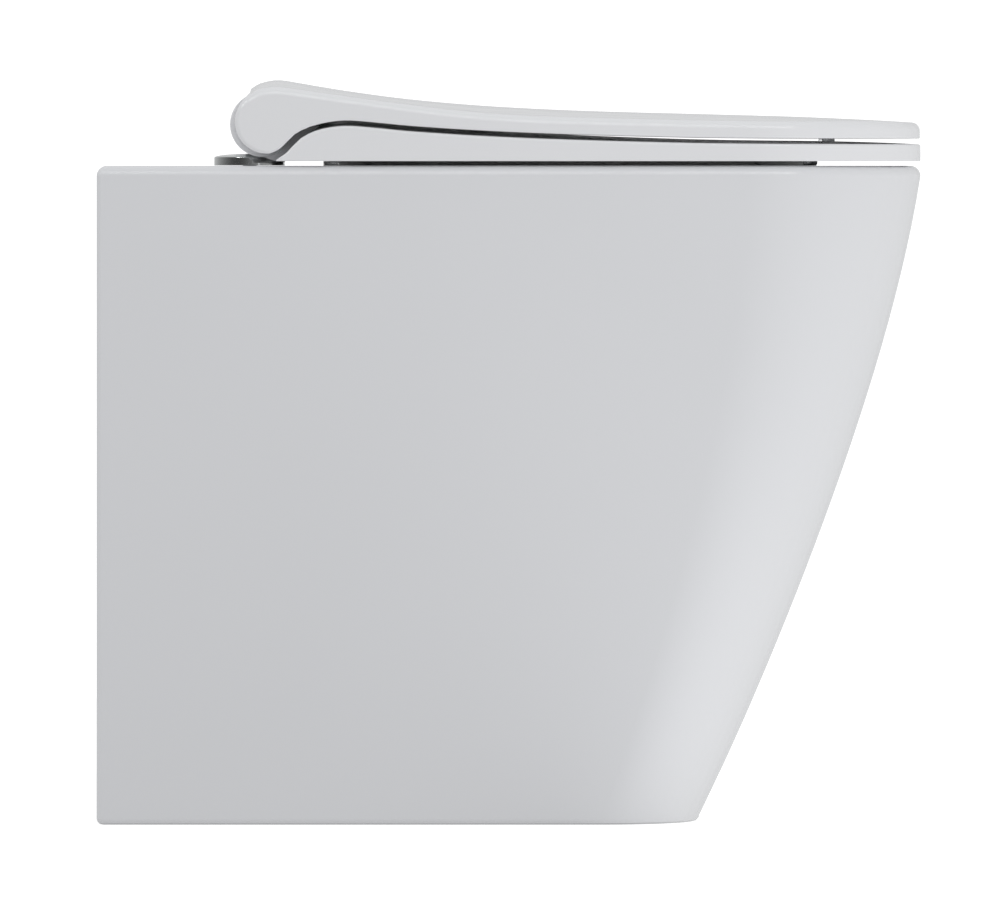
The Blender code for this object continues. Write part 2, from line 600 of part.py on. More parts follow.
def make_spring(name, x):
    """Coil spring along Y that pushes the catch back to the rear."""
    turns, steps, radius, wire = 4, 8, 0.0024, 0.0003
    rear, front = AXIS_Y - 0.0094, AXIS_Y - 0.0151
    points = []
    for k in range(turns * steps + 1):
        angle = 2 * pi * k / steps
        y = rear + (front - rear) * k / (turns * steps)
        points.append((x + radius * cos(angle), y, AXIS_Z + radius * sin(angle)))
    bm = tube(name, points, wire, 1)
    finish_object(name, bm, finish="steel")


# ---------------------------------------------------------------- rubber buffers and fixings
SEAT_BUFFERS = (  # word, depth, x, radius, height of the top above the rim
    ("rear", 0.1476, 0.1680, 0.0050, 0.0026),
    ("front", 0.4495, 0.0920, 0.0045, 0.0082),
)
LID_BUFFERS = (("rear", 0.2400, 0.1450, 0.0055), ("front", 0.4605, 0.1465, 0.0040))


def make_buffers(side, word):
    """Rubber pads that seat and lid rest on."""
    for place, depth, x, radius, top in SEAT_BUFFERS:
        name = f"seat_buffer_{place}_{word}"
        centre = (side * x, DEPTH / 2 - depth)
        cylinder(name, "Z", RIM + GAP, RIM + top, centre, radius, 16, finish="buffer")
    for place, depth, x, radius in LID_BUFFERS:
        name = f"lid_buffer_{place}_{word}"
        y = DEPTH / 2 - depth
        low = RIM + smooth_curve(SEAT_TOP, depth) + 0.0006
        across = 1 - (x / HALF_WIDTH) ** 2
        edge, crown = smooth_curve(LID_EDGE, depth), smooth_curve(LID_CROWN, depth)
        high = RIM + edge + (crown - edge) * across - LID_SKIN - 0.0006
        cylinder(name, "Z", low, high, (side * x, y), radius, 16, finish="buffer")


def make_fixings(side, word):
    """Angle bracket inside the foot with the bolt that holds the pan to it."""
    wall = HALF_WIDTH - WALL - GAP
    y_low, y_high = BRACKET_Y - 0.020, BRACKET_Y + 0.020
    inner, toe = wall - 0.004, wall - 0.045
    foot = [(wall, GAP), (wall, 0.055), (inner, 0.055), (inner, 0.0043), (toe, 0.0043), (toe, GAP)]
    loops = [[(side * x, y, z) for x, z in foot] for y in (y_low, y_high)]
    bracket = loft("floor_bracket_" + word, loops, finish="steel")
    ends = sorted((side * (wall - 0.01), side * (wall + 0.01)))
    centre = (BRACKET_Y, BRACKET_BOLT_Z)
    combine(bracket, cylinder("bracket_bolt_hole_" + word, "X", *ends, centre, 0.0043, 12))
    floor_hole = (side * (wall - 0.026), BRACKET_Y)
    combine(bracket, cylinder("floor_hole_" + word, "Z", -0.01, 0.02, floor_hole, 0.0045, 16))
    ends = sorted((side * (wall - 0.0093), side * (wall - 0.0043)))
    bolt = cylinder("bracket_bolt_" + word, "X", *ends, centre, 0.0075, 6, finish="steel")
    ends = sorted((side * (wall - 0.0060), side * (wall + 0.0060)))
    combine(bolt, cylinder("bracket_shank_" + word, "X", *ends, centre, 0.0039, 12), "UNION")


def make_inlet_seal():
    """Rubber cone in the flush inlet that takes the flush pipe."""
    rear = DEPTH / 2 - INLET_DEPTH
    centre = (0, INLET_Z)
    seal = cylinder("inlet_seal", "Y", rear - 0.030, rear + 0.004, centre, 0.0271, 28, finish="rubber")
    combine(seal, cylinder("seal_bore", "Y", rear - 0.04, rear + 0.02, centre, 0.0225, 28))


SIDES = ((1, "right"), (-1, "left"))
DAMPERS = {"left": "seat_damper", "right": "lid_damper"}

make_shroud()
make_bowl()
make_trapway()
make_inlet()
make_seat()
make_lid()
make_inlet_seal()
for side_sign, side_word in SIDES:
    make_hinge(side_sign, side_word)
    make_buffers(side_sign, side_word)
    make_fixings(side_sign, side_word)
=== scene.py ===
"""Looks of the back-to-wall toilet: detailed ceramic, seat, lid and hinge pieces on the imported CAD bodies.

Metres, +Z up. The floor is z = 0, the front faces -Y and the wall face is y = +DEPTH / 2. Distances
called "depth" are measured forward from the wall face, and heights in the seat and lid tables upward
from the rim.
"""
import json
from math import cos, hypot, pi, radians, sin
import bmesh
import bpy
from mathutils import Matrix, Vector


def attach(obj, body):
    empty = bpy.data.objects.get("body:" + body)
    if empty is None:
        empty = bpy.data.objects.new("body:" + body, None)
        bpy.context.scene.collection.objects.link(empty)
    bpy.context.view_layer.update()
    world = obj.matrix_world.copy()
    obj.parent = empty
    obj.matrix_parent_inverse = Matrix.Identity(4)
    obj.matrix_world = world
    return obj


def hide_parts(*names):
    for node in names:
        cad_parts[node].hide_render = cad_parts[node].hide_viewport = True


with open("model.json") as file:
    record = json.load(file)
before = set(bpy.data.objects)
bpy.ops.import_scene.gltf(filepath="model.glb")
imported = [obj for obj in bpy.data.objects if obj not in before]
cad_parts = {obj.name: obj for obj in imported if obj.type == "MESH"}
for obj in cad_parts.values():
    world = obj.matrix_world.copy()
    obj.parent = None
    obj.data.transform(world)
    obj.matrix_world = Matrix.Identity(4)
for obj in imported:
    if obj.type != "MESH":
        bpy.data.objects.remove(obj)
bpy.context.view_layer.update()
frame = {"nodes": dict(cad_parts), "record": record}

# ---------------------------------------------------------------- dimensions shared with the CAD
DEPTH = 0.520
HALF_WIDTH = 0.180
RIM = 0.4145
WALL = 0.012
DECK = 0.018
RIM_FILLET = 0.0065
FOOT_FILLET = 0.0038
GAP = 0.0003
NOSE_AT_FOOT, NOSE_GROWTH = 0.063, 0.113  # length of the pan's half-ellipse, and its growth with height

AXIS_Y = DEPTH / 2 - 0.1041
AXIS_Z = RIM + 0.0260
AXIS = (0.1041, 0.0260)  # the same line as depth and height
ROLL_R = 0.0204
ROLL_CLEAR_R = 0.0209
HINGE_X = 0.0775
ROSE_Y = DEPTH / 2 - 0.0953
ROSE_R = 0.022
MIDDLE_ROLL = 0.0514
HOUSING_IN, HOUSING_OUT = 0.0520, 0.1060
LUG_IN, LUG_OUT = 0.1072, 0.1494
CHEEK_IN = 0.1500
PIN_BORE_R, DAMPER_R = 0.0044, 0.0110
POST_R, POST_GROOVE_R = 0.0055, 0.0042
BUTTON_R, BUTTON_FACE = 0.0050, 0.0196
NUT_R, NUT_HEIGHT, WING_REACH = 0.0085, 0.012, 0.018
BOLT_R, PIN_R = 0.0040, 0.0040
HINGE_HOLE_R, BRACKET_HOLE_R = 0.0075, 0.0045
FLUSH_SLOT = ((-0.028, 0.050, 0.333), (0.028, 0.128, 0.357))
SEAT_EDGE_R = 0.0015
LID_EDGE_R, LID_LOW_R, CHEEK_EDGE_R = 0.0050, 0.0008, 0.0030

NOSE = 0.110  # half-ellipse at the front of seat and lid
SEAT_LIFT = 0.0029
SEAT_LIP = (0.1419, 0.4544)
SEAT_LIP_HALF_WIDTH = 0.118
LIP, LIP_LIFT = 0.005, 0.00005  # the lip's thickness and its clearance over the rim
CHANNEL_INSET, CHANNEL_REAR = 0.007, 0.1512  # hollow under the ring
SEAT_REAR, SEAT_REAR_EDGE = 0.1130, 0.1145
LID_FRONT = 0.5196
LID_GAP = 0.0035
LID_SKIN = 0.0045
SKIRT = 0.005
NECK = 0.1415  # depth where the lid's skirt turns into the cheek
BUSH_BORE_R, BUSH_BORE_END = 0.0068, 0.1684

SUPER = 2.3  # power of the superellipse outlines
BOWL = (  # height, centre y, half length, half width of the bowl's inside
    (0.118, -0.0720, 0.0300, 0.0340),
    (0.150, -0.0740, 0.0480, 0.0490),
    (0.195, -0.0690, 0.0610, 0.0600),
    (0.240, -0.0660, 0.0800, 0.0740),
    (0.285, -0.0590, 0.1110, 0.0940),
    (0.330, -0.0590, 0.1370, 0.1160),
    (0.375, -0.0610, 0.1540, 0.1310),
    (RIM + 0.004, -0.0615, 0.1565, 0.1340),
)
BOWL_WALL = 0.010
WATER_BORE_R, WATER_TUBE_R = 0.038, 0.047
OUTLET_Z, OUTLET_R, OUTLET_BORE_R = 0.190, 0.051, 0.042
SPIGOT_END = DEPTH / 2 - 0.035
INLET_Z, INLET_R, INLET_BORE_R = 0.345, 0.036, 0.0275
INLET_END = DEPTH / 2 - 0.060
BRACKET_Y, BRACKET_BOLT_Z = 0.165, 0.030

SEAT_TOP = (  # depth, height of the seat's outer top edge
    (0.1130, 0.0038), (0.1175, 0.0068), (0.1210, 0.0096), (0.1245, 0.0137), (0.1285, 0.0174),
    (0.1345, 0.0207), (0.1430, 0.0234), (0.1560, 0.0250), (0.1700, 0.0242), (0.2000, 0.0214),
    (0.2540, 0.0181), (0.3200, 0.0157), (0.4000, 0.0140), (0.5250, 0.0136),
)
SEAT_CROWN = (  # depth, height of the ring's middle above its outer edge
    (0.1300, 0.0000), (0.1400, 0.0030), (0.1550, 0.0036), (0.1900, 0.0036), (0.2650, 0.0033),
    (0.3420, 0.0024), (0.4200, 0.0016), (0.5200, 0.0012),
)
LID_CROWN = (  # depth, height on the centre line
    (0.0975, 0.0500), (0.1020, 0.0522), (0.1090, 0.0539), (0.1150, 0.0542), (0.1230, 0.0530),
    (0.1410, 0.0499), (0.1600, 0.0469), (0.1915, 0.0427), (0.2290, 0.0391), (0.2670, 0.0366),
    (0.3170, 0.0345), (0.3800, 0.0328), (0.4430, 0.0310), (0.4900, 0.0289), (0.5196, 0.0272),
)
LID_EDGE = (  # depth, height where the crown meets the side face
    (0.0975, 0.0462), (0.1020, 0.0481), (0.1090, 0.0491), (0.1150, 0.0493), (0.1230, 0.0483),
    (0.1410, 0.0458), (0.1600, 0.0431), (0.1915, 0.0388), (0.2290, 0.0343), (0.2670, 0.0315),
    (0.3170, 0.0299), (0.3800, 0.0284), (0.4430, 0.0275), (0.4900, 0.0271), (0.5196, 0.0262),
)
CHEEK_HUB, CHEEK_R = (0.1071, 0.0278), 0.0203
CHEEK_FOOT_R = 0.0189  # arc round the hinge line under the cheek
CHEEK_NECK = ((0.1245, 0.0197), (0.1285, 0.0221), (0.1345, 0.0247))

SEAT_BUFFERS = (  # word, depth, x, radius, height of the top above the rim
    ("rear", 0.1476, 0.1680, 0.0050, 0.0026),
    ("front", 0.4495, 0.0920, 0.0045, 0.0082),
)
LID_BUFFERS = (("rear", 0.2400, 0.1450, 0.0055), ("front", 0.4605, 0.1465, 0.0040))

SIDES = ((1, "right"), (-1, "left"))


# ---------------------------------------------------------------- curves
def smooth_curve(points, value):
    """Height at a depth, on the Catmull-Rom curve through (depth, height) points."""
    if value <= points[0][0]:
        return points[0][1]
    if value >= points[-1][0]:
        return points[-1][1]
    i = max(k for k in range(len(points) - 1) if points[k][0] <= value)
    (x0, y0), (x1, y1) = points[i], points[i + 1]
    before = points[i - 1] if i else points[i]
    after = points[i + 2] if i + 2 < len(points) else points[i + 1]
    slope_in = (y1 - before[1]) / (x1 - before[0]) * (x1 - x0)
    slope_out = (after[1] - y0) / (after[0] - x0) * (x1 - x0)
    t = (value - x0) / (x1 - x0)
    return (
        y0 * (2 * t**3 - 3 * t**2 + 1)
        + slope_in * (t**3 - 2 * t**2 + t)
        + y1 * (3 * t**2 - 2 * t**3)
        + slope_out * (t**3 - t**2)
    )


def between(low, high, count):
    """Evenly spaced numbers, both ends included."""
    return [low + (high - low) * k / count for k in range(count + 1)]


def fade(value, low, high):
    """0 below low, 1 above high, smooth between."""
    t = min(max((value - low) / (high - low), 0.0), 1.0)
    return t * t * (3 - 2 * t)


def superellipse(centre_y, half_length, half_width, count=96):
    """A rounded (x, y) outline, counter-clockwise."""
    points = []
    for k in range(count):
        c, s = cos(2 * pi * k / count), sin(2 * pi * k / count)
        scale = (abs(c) ** SUPER + abs(s) ** SUPER) ** (-1 / SUPER)
        points.append((half_width * c * scale, centre_y + half_length * s * scale))
    return points


def arc(centre, radius, first, last, count):
    """2-D points on an arc, angles in degrees."""
    angles = [radians(a) for a in between(first, last, count)]
    return [(centre[0] + radius * cos(a), centre[1] + radius * sin(a)) for a in angles]


def pan_front(z):
    """Depth of the pan's front at a height."""
    return 0.3781 + 0.4943 * z - 0.4724 * z**2 + 0.831 * z**3 - 1.356 * z**4


def pan_loop(z, inset=0.0, rear_y=DEPTH / 2, corner=0.003, profile_z=None, segments=88):
    """The skirt's outline at a height: parallel sides, rounded rear corners, half-ellipse front."""
    at = z if profile_z is None else profile_z
    nose = NOSE_AT_FOOT + NOSE_GROWTH * at
    side, rear = HALF_WIDTH - inset, rear_y - inset
    centre_y = DEPTH / 2 - pan_front(at) + nose
    right = [(side - corner + corner * cos(a), rear - corner + corner * sin(a))
             for a in (radians(b) for b in between(90, 0, 6))]
    right += [(side, y) for y in between(rear - corner, centre_y, 12)[1:-1]]
    front = [(side * cos(a), centre_y + (nose - inset) * sin(a)) for a in between(0, -pi, segments)]
    left = [(-x, y) for x, y in reversed(right)]
    return [(x, y, z) for x, y in right + front + left]


# ---------------------------------------------------------------- mesh building
def make_object(name, points, faces, index=0):
    """A mesh object with its normals facing out; index is the material slot of its faces."""
    mesh = bpy.data.meshes.new(name)
    mesh.from_pydata(points, [], faces)
    bm = bmesh.new()
    bm.from_mesh(mesh)
    bmesh.ops.recalc_face_normals(bm, faces=bm.faces)
    for face in bm.faces:
        face.material_index = index
    bm.to_mesh(mesh)
    bm.free()
    obj = bpy.data.objects.new(name, mesh)
    bpy.context.scene.collection.objects.link(obj)
    for _ in range(index + 1):
        mesh.materials.append(None)
    return obj


def loft(name, loops, ring=False, index=0):
    """Closed loops of equal count joined side by side, capped at both ends or closed into a ring."""
    size = len(loops[0])
    points = [p for loop in loops for p in loop]
    faces = []
    spans = len(loops) if ring else len(loops) - 1
    for k in range(spans):
        a, b = k * size, (k + 1) % len(loops) * size
        for i in range(size):
            j = (i + 1) % size
            faces.append((a + i, a + j, b + j, b + i))
    if not ring:
        faces += [tuple(range(size)), tuple(range((len(loops) - 1) * size, len(points)))]
    return make_object(name, points, faces, index)


def prism_x(name, outline, low, high):
    """A (y, z) outline extruded along X."""
    return loft(name, [[(x, y, z) for y, z in outline] for x in (low, high)])


def prism_z(name, outline, low, high):
    """An (x, y) outline extruded along Z."""
    return loft(name, [[(x, y, z) for x, y in outline] for z in (low, high)])


def box(name, low, high):
    """A block between two corners, used only as a cutter."""
    outline = [(low[0], low[1]), (high[0], low[1]), (high[0], high[1]), (low[0], high[1])]
    return prism_z(name, outline, low[2], high[2])


def revolve(name, axis, profile, centre, sides=72, ring=False, index=0):
    """(radius, position) pairs turned about a line along axis; centre holds the two other coordinates."""
    loops = []
    for radius, place in profile:
        loop = []
        for k in range(sides):
            a = 2 * pi * k / sides
            point = [centre[0] + radius * cos(a), centre[1] + radius * sin(a)]
            point.insert("XYZ".index(axis), place)
            loop.append(tuple(point))
        loops.append(loop)
    return loft(name, loops, ring, index)


def spool(radius, low, high, fillet, steps=4):
    """Profile of a cylinder with rounded ends."""
    rounds = [(fillet * (1 - sin(a)), fillet * (1 - cos(a))) for a in between(0, pi / 2, steps)]
    start = [(radius - inset, low + back) for inset, back in rounds]
    end = [(radius - inset, high - back) for inset, back in reversed(rounds)]
    return start + end


def tube(name, route, radius, sides=56, index=0):
    """A closed tube in the x = 0 plane along (y, z) points."""
    loops = []
    for k, (y, z) in enumerate(route):
        before, after = route[max(k - 1, 0)], route[min(k + 1, len(route) - 1)]
        length = hypot(after[0] - before[0], after[1] - before[1])
        ty, tz = (after[0] - before[0]) / length, (after[1] - before[1]) / length
        loop = []
        for a in (2 * pi * i / sides for i in range(sides)):
            out = radius * sin(a)
            loop.append((radius * cos(a), y - tz * out, z + ty * out))
        loops.append(loop)
    return loft(name, loops, index=index)


def combine(obj, tool, operation="DIFFERENCE"):
    """Queue a Boolean; settle() applies the queue and removes the tools."""
    modifier = obj.modifiers.new(tool.name, "BOOLEAN")
    modifier.operation = operation
    modifier.object = tool
    modifier.solver = "EXACT"
    modifier.material_mode = "INDEX"
    return obj


def settle(obj, sharp=32):
    """Apply the modifiers and shade smooth, with edges sharp above an angle in degrees."""
    tools = [m.object for m in obj.modifiers if m.type == "BOOLEAN"]
    evaluated = obj.evaluated_get(bpy.context.evaluated_depsgraph_get())
    mesh = bpy.data.meshes.new_from_object(evaluated)
    obj.modifiers.clear()
    obj.data = mesh
    for tool in tools:
        bpy.data.objects.remove(tool, do_unlink=True)
    bm = bmesh.new()
    bm.from_mesh(mesh)
    bmesh.ops.remove_doubles(bm, verts=bm.verts, dist=2e-6)
    bm.to_mesh(mesh)
    bm.free()
    mesh.shade_smooth()
    mesh.set_sharp_from_angle(angle=radians(sharp))
    return obj


def weigh_normals(obj):
    """Flat faces stay flat next to fillets."""
    modifier = obj.modifiers.new("weighted_normals", "WEIGHTED_NORMAL")
    modifier.keep_sharp = True
    modifier.weight = 50
    return obj


def present(obj, body, slot, materials, *nodes):
    """Show a finished piece on its body, in place of CAD nodes."""
    obj.data.materials.clear()
    for name in materials if isinstance(materials, (tuple, list)) else [materials]:
        obj.data.materials.append(MATERIALS[name])
    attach(obj, body)
    if nodes:
        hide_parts(*nodes)
    return obj


def wrap_solid(name, rows, top, low, straight, half_width=HALF_WIDTH, nose=NOSE, columns=14, arcs=6,
               sweep=72):
    """Body with straight sides, a half-ellipse front and rounded edges.

    rows hold (depth, height, edge radius, crown share) of the side view's outline, from the top at
    depth straight round the rear to the bottom at depth straight. top(depth, x) is the height of the
    upper surface, low(depth) that of the lower one.
    """
    points, faces, grid = [], [], []
    turns = [pi / 2 * j / arcs for j in range(arcs + 1)]

    def add(x, depth, height):
        points.append((x, DEPTH / 2 - depth, RIM + height))
        return len(points) - 1

    last = len(rows) - 1
    for i, (depth, height, radius, share) in enumerate(rows):
        a, b = rows[max(i - 1, 0)], rows[min(i + 1, last)]
        run, rise = b[0] - a[0], b[1] - a[1]
        length = hypot(run, rise)
        out = (rise / length, -run / length)
        out = (0.0, 1.0) if i == 0 else (0.0, -1.0) if i == last else out
        half = [(half_width - radius * (1 - cos(t)), radius * (1 - sin(t))) for t in turns]
        half += [((half_width - radius) * (1 - k / columns), 0.0) for k in range(1, columns + 1)]
        whole = half + [(-x, inset) for x, inset in reversed(half[:-1])]
        row = []
        for x, inset in whole:
            lift = share * (top(depth, abs(x)) - top(depth, half_width)) if share else 0.0
            row.append(add(x, depth - inset * out[0], height - inset * out[1] + lift))
        grid.append(row)
    for upper, lower in zip(grid, grid[1:]):
        for j in range(len(upper) - 1):
            faces.append((upper[j], upper[j + 1], lower[j + 1], lower[j]))
    faces.append(tuple(row[0] for row in grid))
    faces.append(tuple(row[-1] for row in grid))

    size = arcs + 1 + columns

    def spokes(row, radius, sign, height_at):
        """Half-rows from the rim to the middle at each angle of the front."""
        found = [row[:size]]
        for k in range(1, sweep):
            angle = pi * k / sweep
            c, s = cos(angle), sin(angle)
            edge = (half_width * c, straight + nose * s)
            slope = hypot(c / half_width, s / nose)
            out = (c / half_width / slope, s / nose / slope)
            spoke = []
            for t in turns:
                turn = 1 - cos(t)
                x = edge[0] - out[0] * radius * turn
                depth = edge[1] - out[1] * radius * turn
                spoke.append(add(x, depth, height_at(depth, abs(x)) - sign * radius * (1 - sin(t))))
            for m in range(1, columns):
                share = 1 - m / columns
                px, pd = x * share, straight + (depth - straight) * share
                spoke.append(add(px, pd, height_at(pd, abs(px))))
            found.append(spoke + [row[size - 1]])
        found.append(list(reversed(row))[:size])
        return found

    upper = spokes(grid[0], rows[0][2], 1, top)
    lower = spokes(grid[-1], rows[-1][2], -1, lambda depth, _: low(depth))
    for spread in (upper, lower):
        for a, b in zip(spread, spread[1:]):
            faces += [(a[j], b[j], b[j + 1], a[j + 1]) for j in range(size - 2)]
            faces.append((a[size - 2], b[size - 2], a[size - 1]))
    for a, b, c, d in zip(upper, upper[1:], lower, lower[1:]):
        faces.append((a[0], b[0], d[0], c[0]))
    return make_object(name, points, faces)


# ---------------------------------------------------------------- materials
def material(name, colour, roughness, metallic=0.0, **sockets):
    """A Principled material, returned with its tree and shader for further nodes."""
    made = bpy.data.materials.new(name)
    made.use_nodes = True
    tree = made.node_tree
    shader = tree.nodes["Principled BSDF"]
    shader.inputs["Base Color"].default_value = (*colour, 1.0)
    shader.inputs["Roughness"].default_value = roughness
    shader.inputs["Metallic"].default_value = metallic
    for socket, value in sockets.items():
        shader.inputs[socket.replace("_", " ")].default_value = value
    return made, tree, shader


def noise(tree, scale, detail=3.0):
    """A noise texture on object coordinates."""
    where = tree.nodes.new("ShaderNodeTexCoord")
    found = tree.nodes.new("ShaderNodeTexNoise")
    found.inputs["Scale"].default_value = scale
    found.inputs["Detail"].default_value = detail
    tree.links.new(where.outputs["Object"], found.inputs["Vector"])
    return found


def vary_colour(tree, shader, scale, low, high, detail=2.0):
    """Blend two colours by a noise."""
    source = noise(tree, scale, detail)
    ramp = tree.nodes.new("ShaderNodeValToRGB")
    ramp.color_ramp.elements[0].position, ramp.color_ramp.elements[1].position = 0.35, 0.65
    ramp.color_ramp.elements[0].color = (*low, 1.0)
    ramp.color_ramp.elements[1].color = (*high, 1.0)
    tree.links.new(source.outputs["Fac"], ramp.inputs["Fac"])
    tree.links.new(ramp.outputs["Color"], shader.inputs["Base Color"])


def vary_roughness(tree, shader, scale, low, high, detail=3.0):
    """Let roughness wander between two values."""
    source = noise(tree, scale, detail)
    span = tree.nodes.new("ShaderNodeMapRange")
    span.inputs["From Min"].default_value, span.inputs["From Max"].default_value = 0.3, 0.7
    span.inputs["To Min"].default_value, span.inputs["To Max"].default_value = low, high
    tree.links.new(source.outputs["Fac"], span.inputs["Value"])
    tree.links.new(span.outputs["Result"], shader.inputs["Roughness"])


def add_bump(tree, shader, scale, distance, strength=1.0, detail=2.0, below=None):
    """Bump from a noise, distance in metres; below is a bump node to add to."""
    source = noise(tree, scale, detail)
    bump = tree.nodes.new("ShaderNodeBump")
    bump.inputs["Distance"].default_value = distance
    bump.inputs["Strength"].default_value = strength
    tree.links.new(source.outputs["Fac"], bump.inputs["Height"])
    if below:
        tree.links.new(below.outputs["Normal"], bump.inputs["Normal"])
    tree.links.new(bump.outputs["Normal"], shader.inputs["Normal"])
    return bump


MATERIALS = {}


def look(key, name, colour, roughness, tints, wander, grain=None, **sockets):
    """A material whose colour, roughness and surface vary a little.

    tints are the (scale, low, high, detail) of its colour, wander the (scale, low, high) of its
    roughness and grain the (scale, distance, strength, detail) of its bump.
    """
    made, tree, shader = material(name, colour, roughness, **sockets)
    vary_colour(tree, shader, *tints)
    vary_roughness(tree, shader, *wander)
    bump = add_bump(tree, shader, *grain) if grain else None
    MATERIALS[key] = made
    return tree, shader, bump


tree, shader, wave = look(
    "glaze", "glazed_ceramic", (0.800, 0.804, 0.822), 0.10,
    (5.0, (0.796, 0.800, 0.818), (0.804, 0.808, 0.826)), (9.0, 0.08, 0.14), (7.0, 0.0006, 0.25),
    Coat_Weight=0.35, Coat_Roughness=0.04,
)
add_bump(tree, shader, 260.0, 0.00002, 0.5, below=wave)
look(
    "bisque", "unglazed_ceramic", (0.76, 0.75, 0.73), 0.7,
    (22.0, (0.73, 0.715, 0.69), (0.78, 0.772, 0.755), 4.0), (60.0, 0.55, 0.8), (420.0, 0.0002, 0.5, 4.0),
)
look(
    "seat", "seat_plastic_gloss", (0.86, 0.862, 0.876), 0.14,
    (8.0, (0.856, 0.858, 0.872), (0.864, 0.866, 0.880)), (30.0, 0.12, 0.18), (500.0, 0.00001, 0.15),
    Coat_Weight=0.2, Coat_Roughness=0.05,
)
look(
    "chrome", "chrome_plating", (0.86, 0.88, 0.87), 0.08,
    (90.0, (0.84, 0.86, 0.85), (0.88, 0.90, 0.89)), (240.0, 0.05, 0.11), metallic=1.0,
)
look(
    "steel", "zinc_plated_steel", (0.52, 0.53, 0.54), 0.32,
    (140.0, (0.44, 0.45, 0.47), (0.58, 0.59, 0.58), 3.0), (200.0, 0.24, 0.42), (900.0, 0.00003, 0.5),
    metallic=1.0,
)
look(
    "rubber", "black_rubber", (0.03, 0.03, 0.032), 0.65,
    (300.0, (0.022, 0.022, 0.024), (0.040, 0.040, 0.042), 3.0), (180.0, 0.55, 0.75), (1200.0, 0.00005, 0.6),
)
look(
    "buffer", "clear_soft_plastic", (0.93, 0.94, 0.95), 0.22,
    (260.0, (0.91, 0.92, 0.93), (0.95, 0.96, 0.97), 3.0), (180.0, 0.18, 0.28), (1500.0, 0.00002, 0.3),
    Transmission_Weight=0.9, IOR=1.41,
)
look(
    "nylon", "nylon", (0.74, 0.74, 0.70), 0.45,
    (160.0, (0.71, 0.71, 0.67), (0.77, 0.77, 0.73), 3.0), (220.0, 0.38, 0.52), (1400.0, 0.00002, 0.5),
    Subsurface_Weight=0.1,
)
look(
    "damper", "damper_case", (0.10, 0.105, 0.115), 0.4,
    (220.0, (0.085, 0.09, 0.10), (0.115, 0.12, 0.13), 3.0), (300.0, 0.34, 0.48), (1600.0, 0.00002, 0.6),
)

SLOT_LOOK = {
    "ceramic": "glaze", "seat_plastic": "seat", "chrome": "chrome", "steel": "steel",
    "black_rubber": "rubber", "buffer_rubber": "buffer", "nylon": "nylon", "damper_case": "damper",
}
for entry in frame["record"]["subparts"]:
    node = frame["nodes"][entry["node"]]
    node.data.materials.clear()
    node.data.materials.append(MATERIALS[SLOT_LOOK[entry["material_slot"]]])


# ---------------------------------------------------------------- pan
def bowl_row(z):
    """Centre, half length and half width of the bowl's inside at a height."""
    return [smooth_curve([(row[0], row[k]) for row in BOWL], z) for k in (1, 2, 3)]


def bowl_loop(z, grow=0.0, place=None):
    """The bowl's outline at a height, drawn at another height if place is given."""
    centre, half_length, half_width = bowl_row(z)
    height = z if place is None else place
    return [(x, y, height) for x, y in superellipse(centre, half_length + grow, half_width + grow)]


def bowl_inside():
    """Hollow of the bowl with a rounded rim edge."""
    fillet = 0.0075
    loops = [bowl_loop(z) for z in between(BOWL[0][0], RIM - fillet, 34)]
    for a in between(0, pi / 2, 7)[1:]:
        loops.append(bowl_loop(RIM, fillet * (1 - cos(a)), RIM - fillet * (1 - sin(a))))
    loops.append(bowl_loop(RIM, fillet, RIM + 0.02))
    return loft("bowl_inside", loops)


def water_route(lead):
    """The trap's centre line as (y, z) points: dip, rise over the weir, fall to the spigot."""
    line = arc((-0.030, 0.165), 0.055, -150, -25, 22) + arc((0.091, 0.188), 0.045, 155, 60, 18)
    line += arc((0.1935, OUTLET_Z + 0.060), 0.060, -120, -90, 8)
    if lead:
        y, z = line[0]
        line.insert(0, (y - lead * cos(radians(60)), z + lead * sin(radians(60))))
    return line


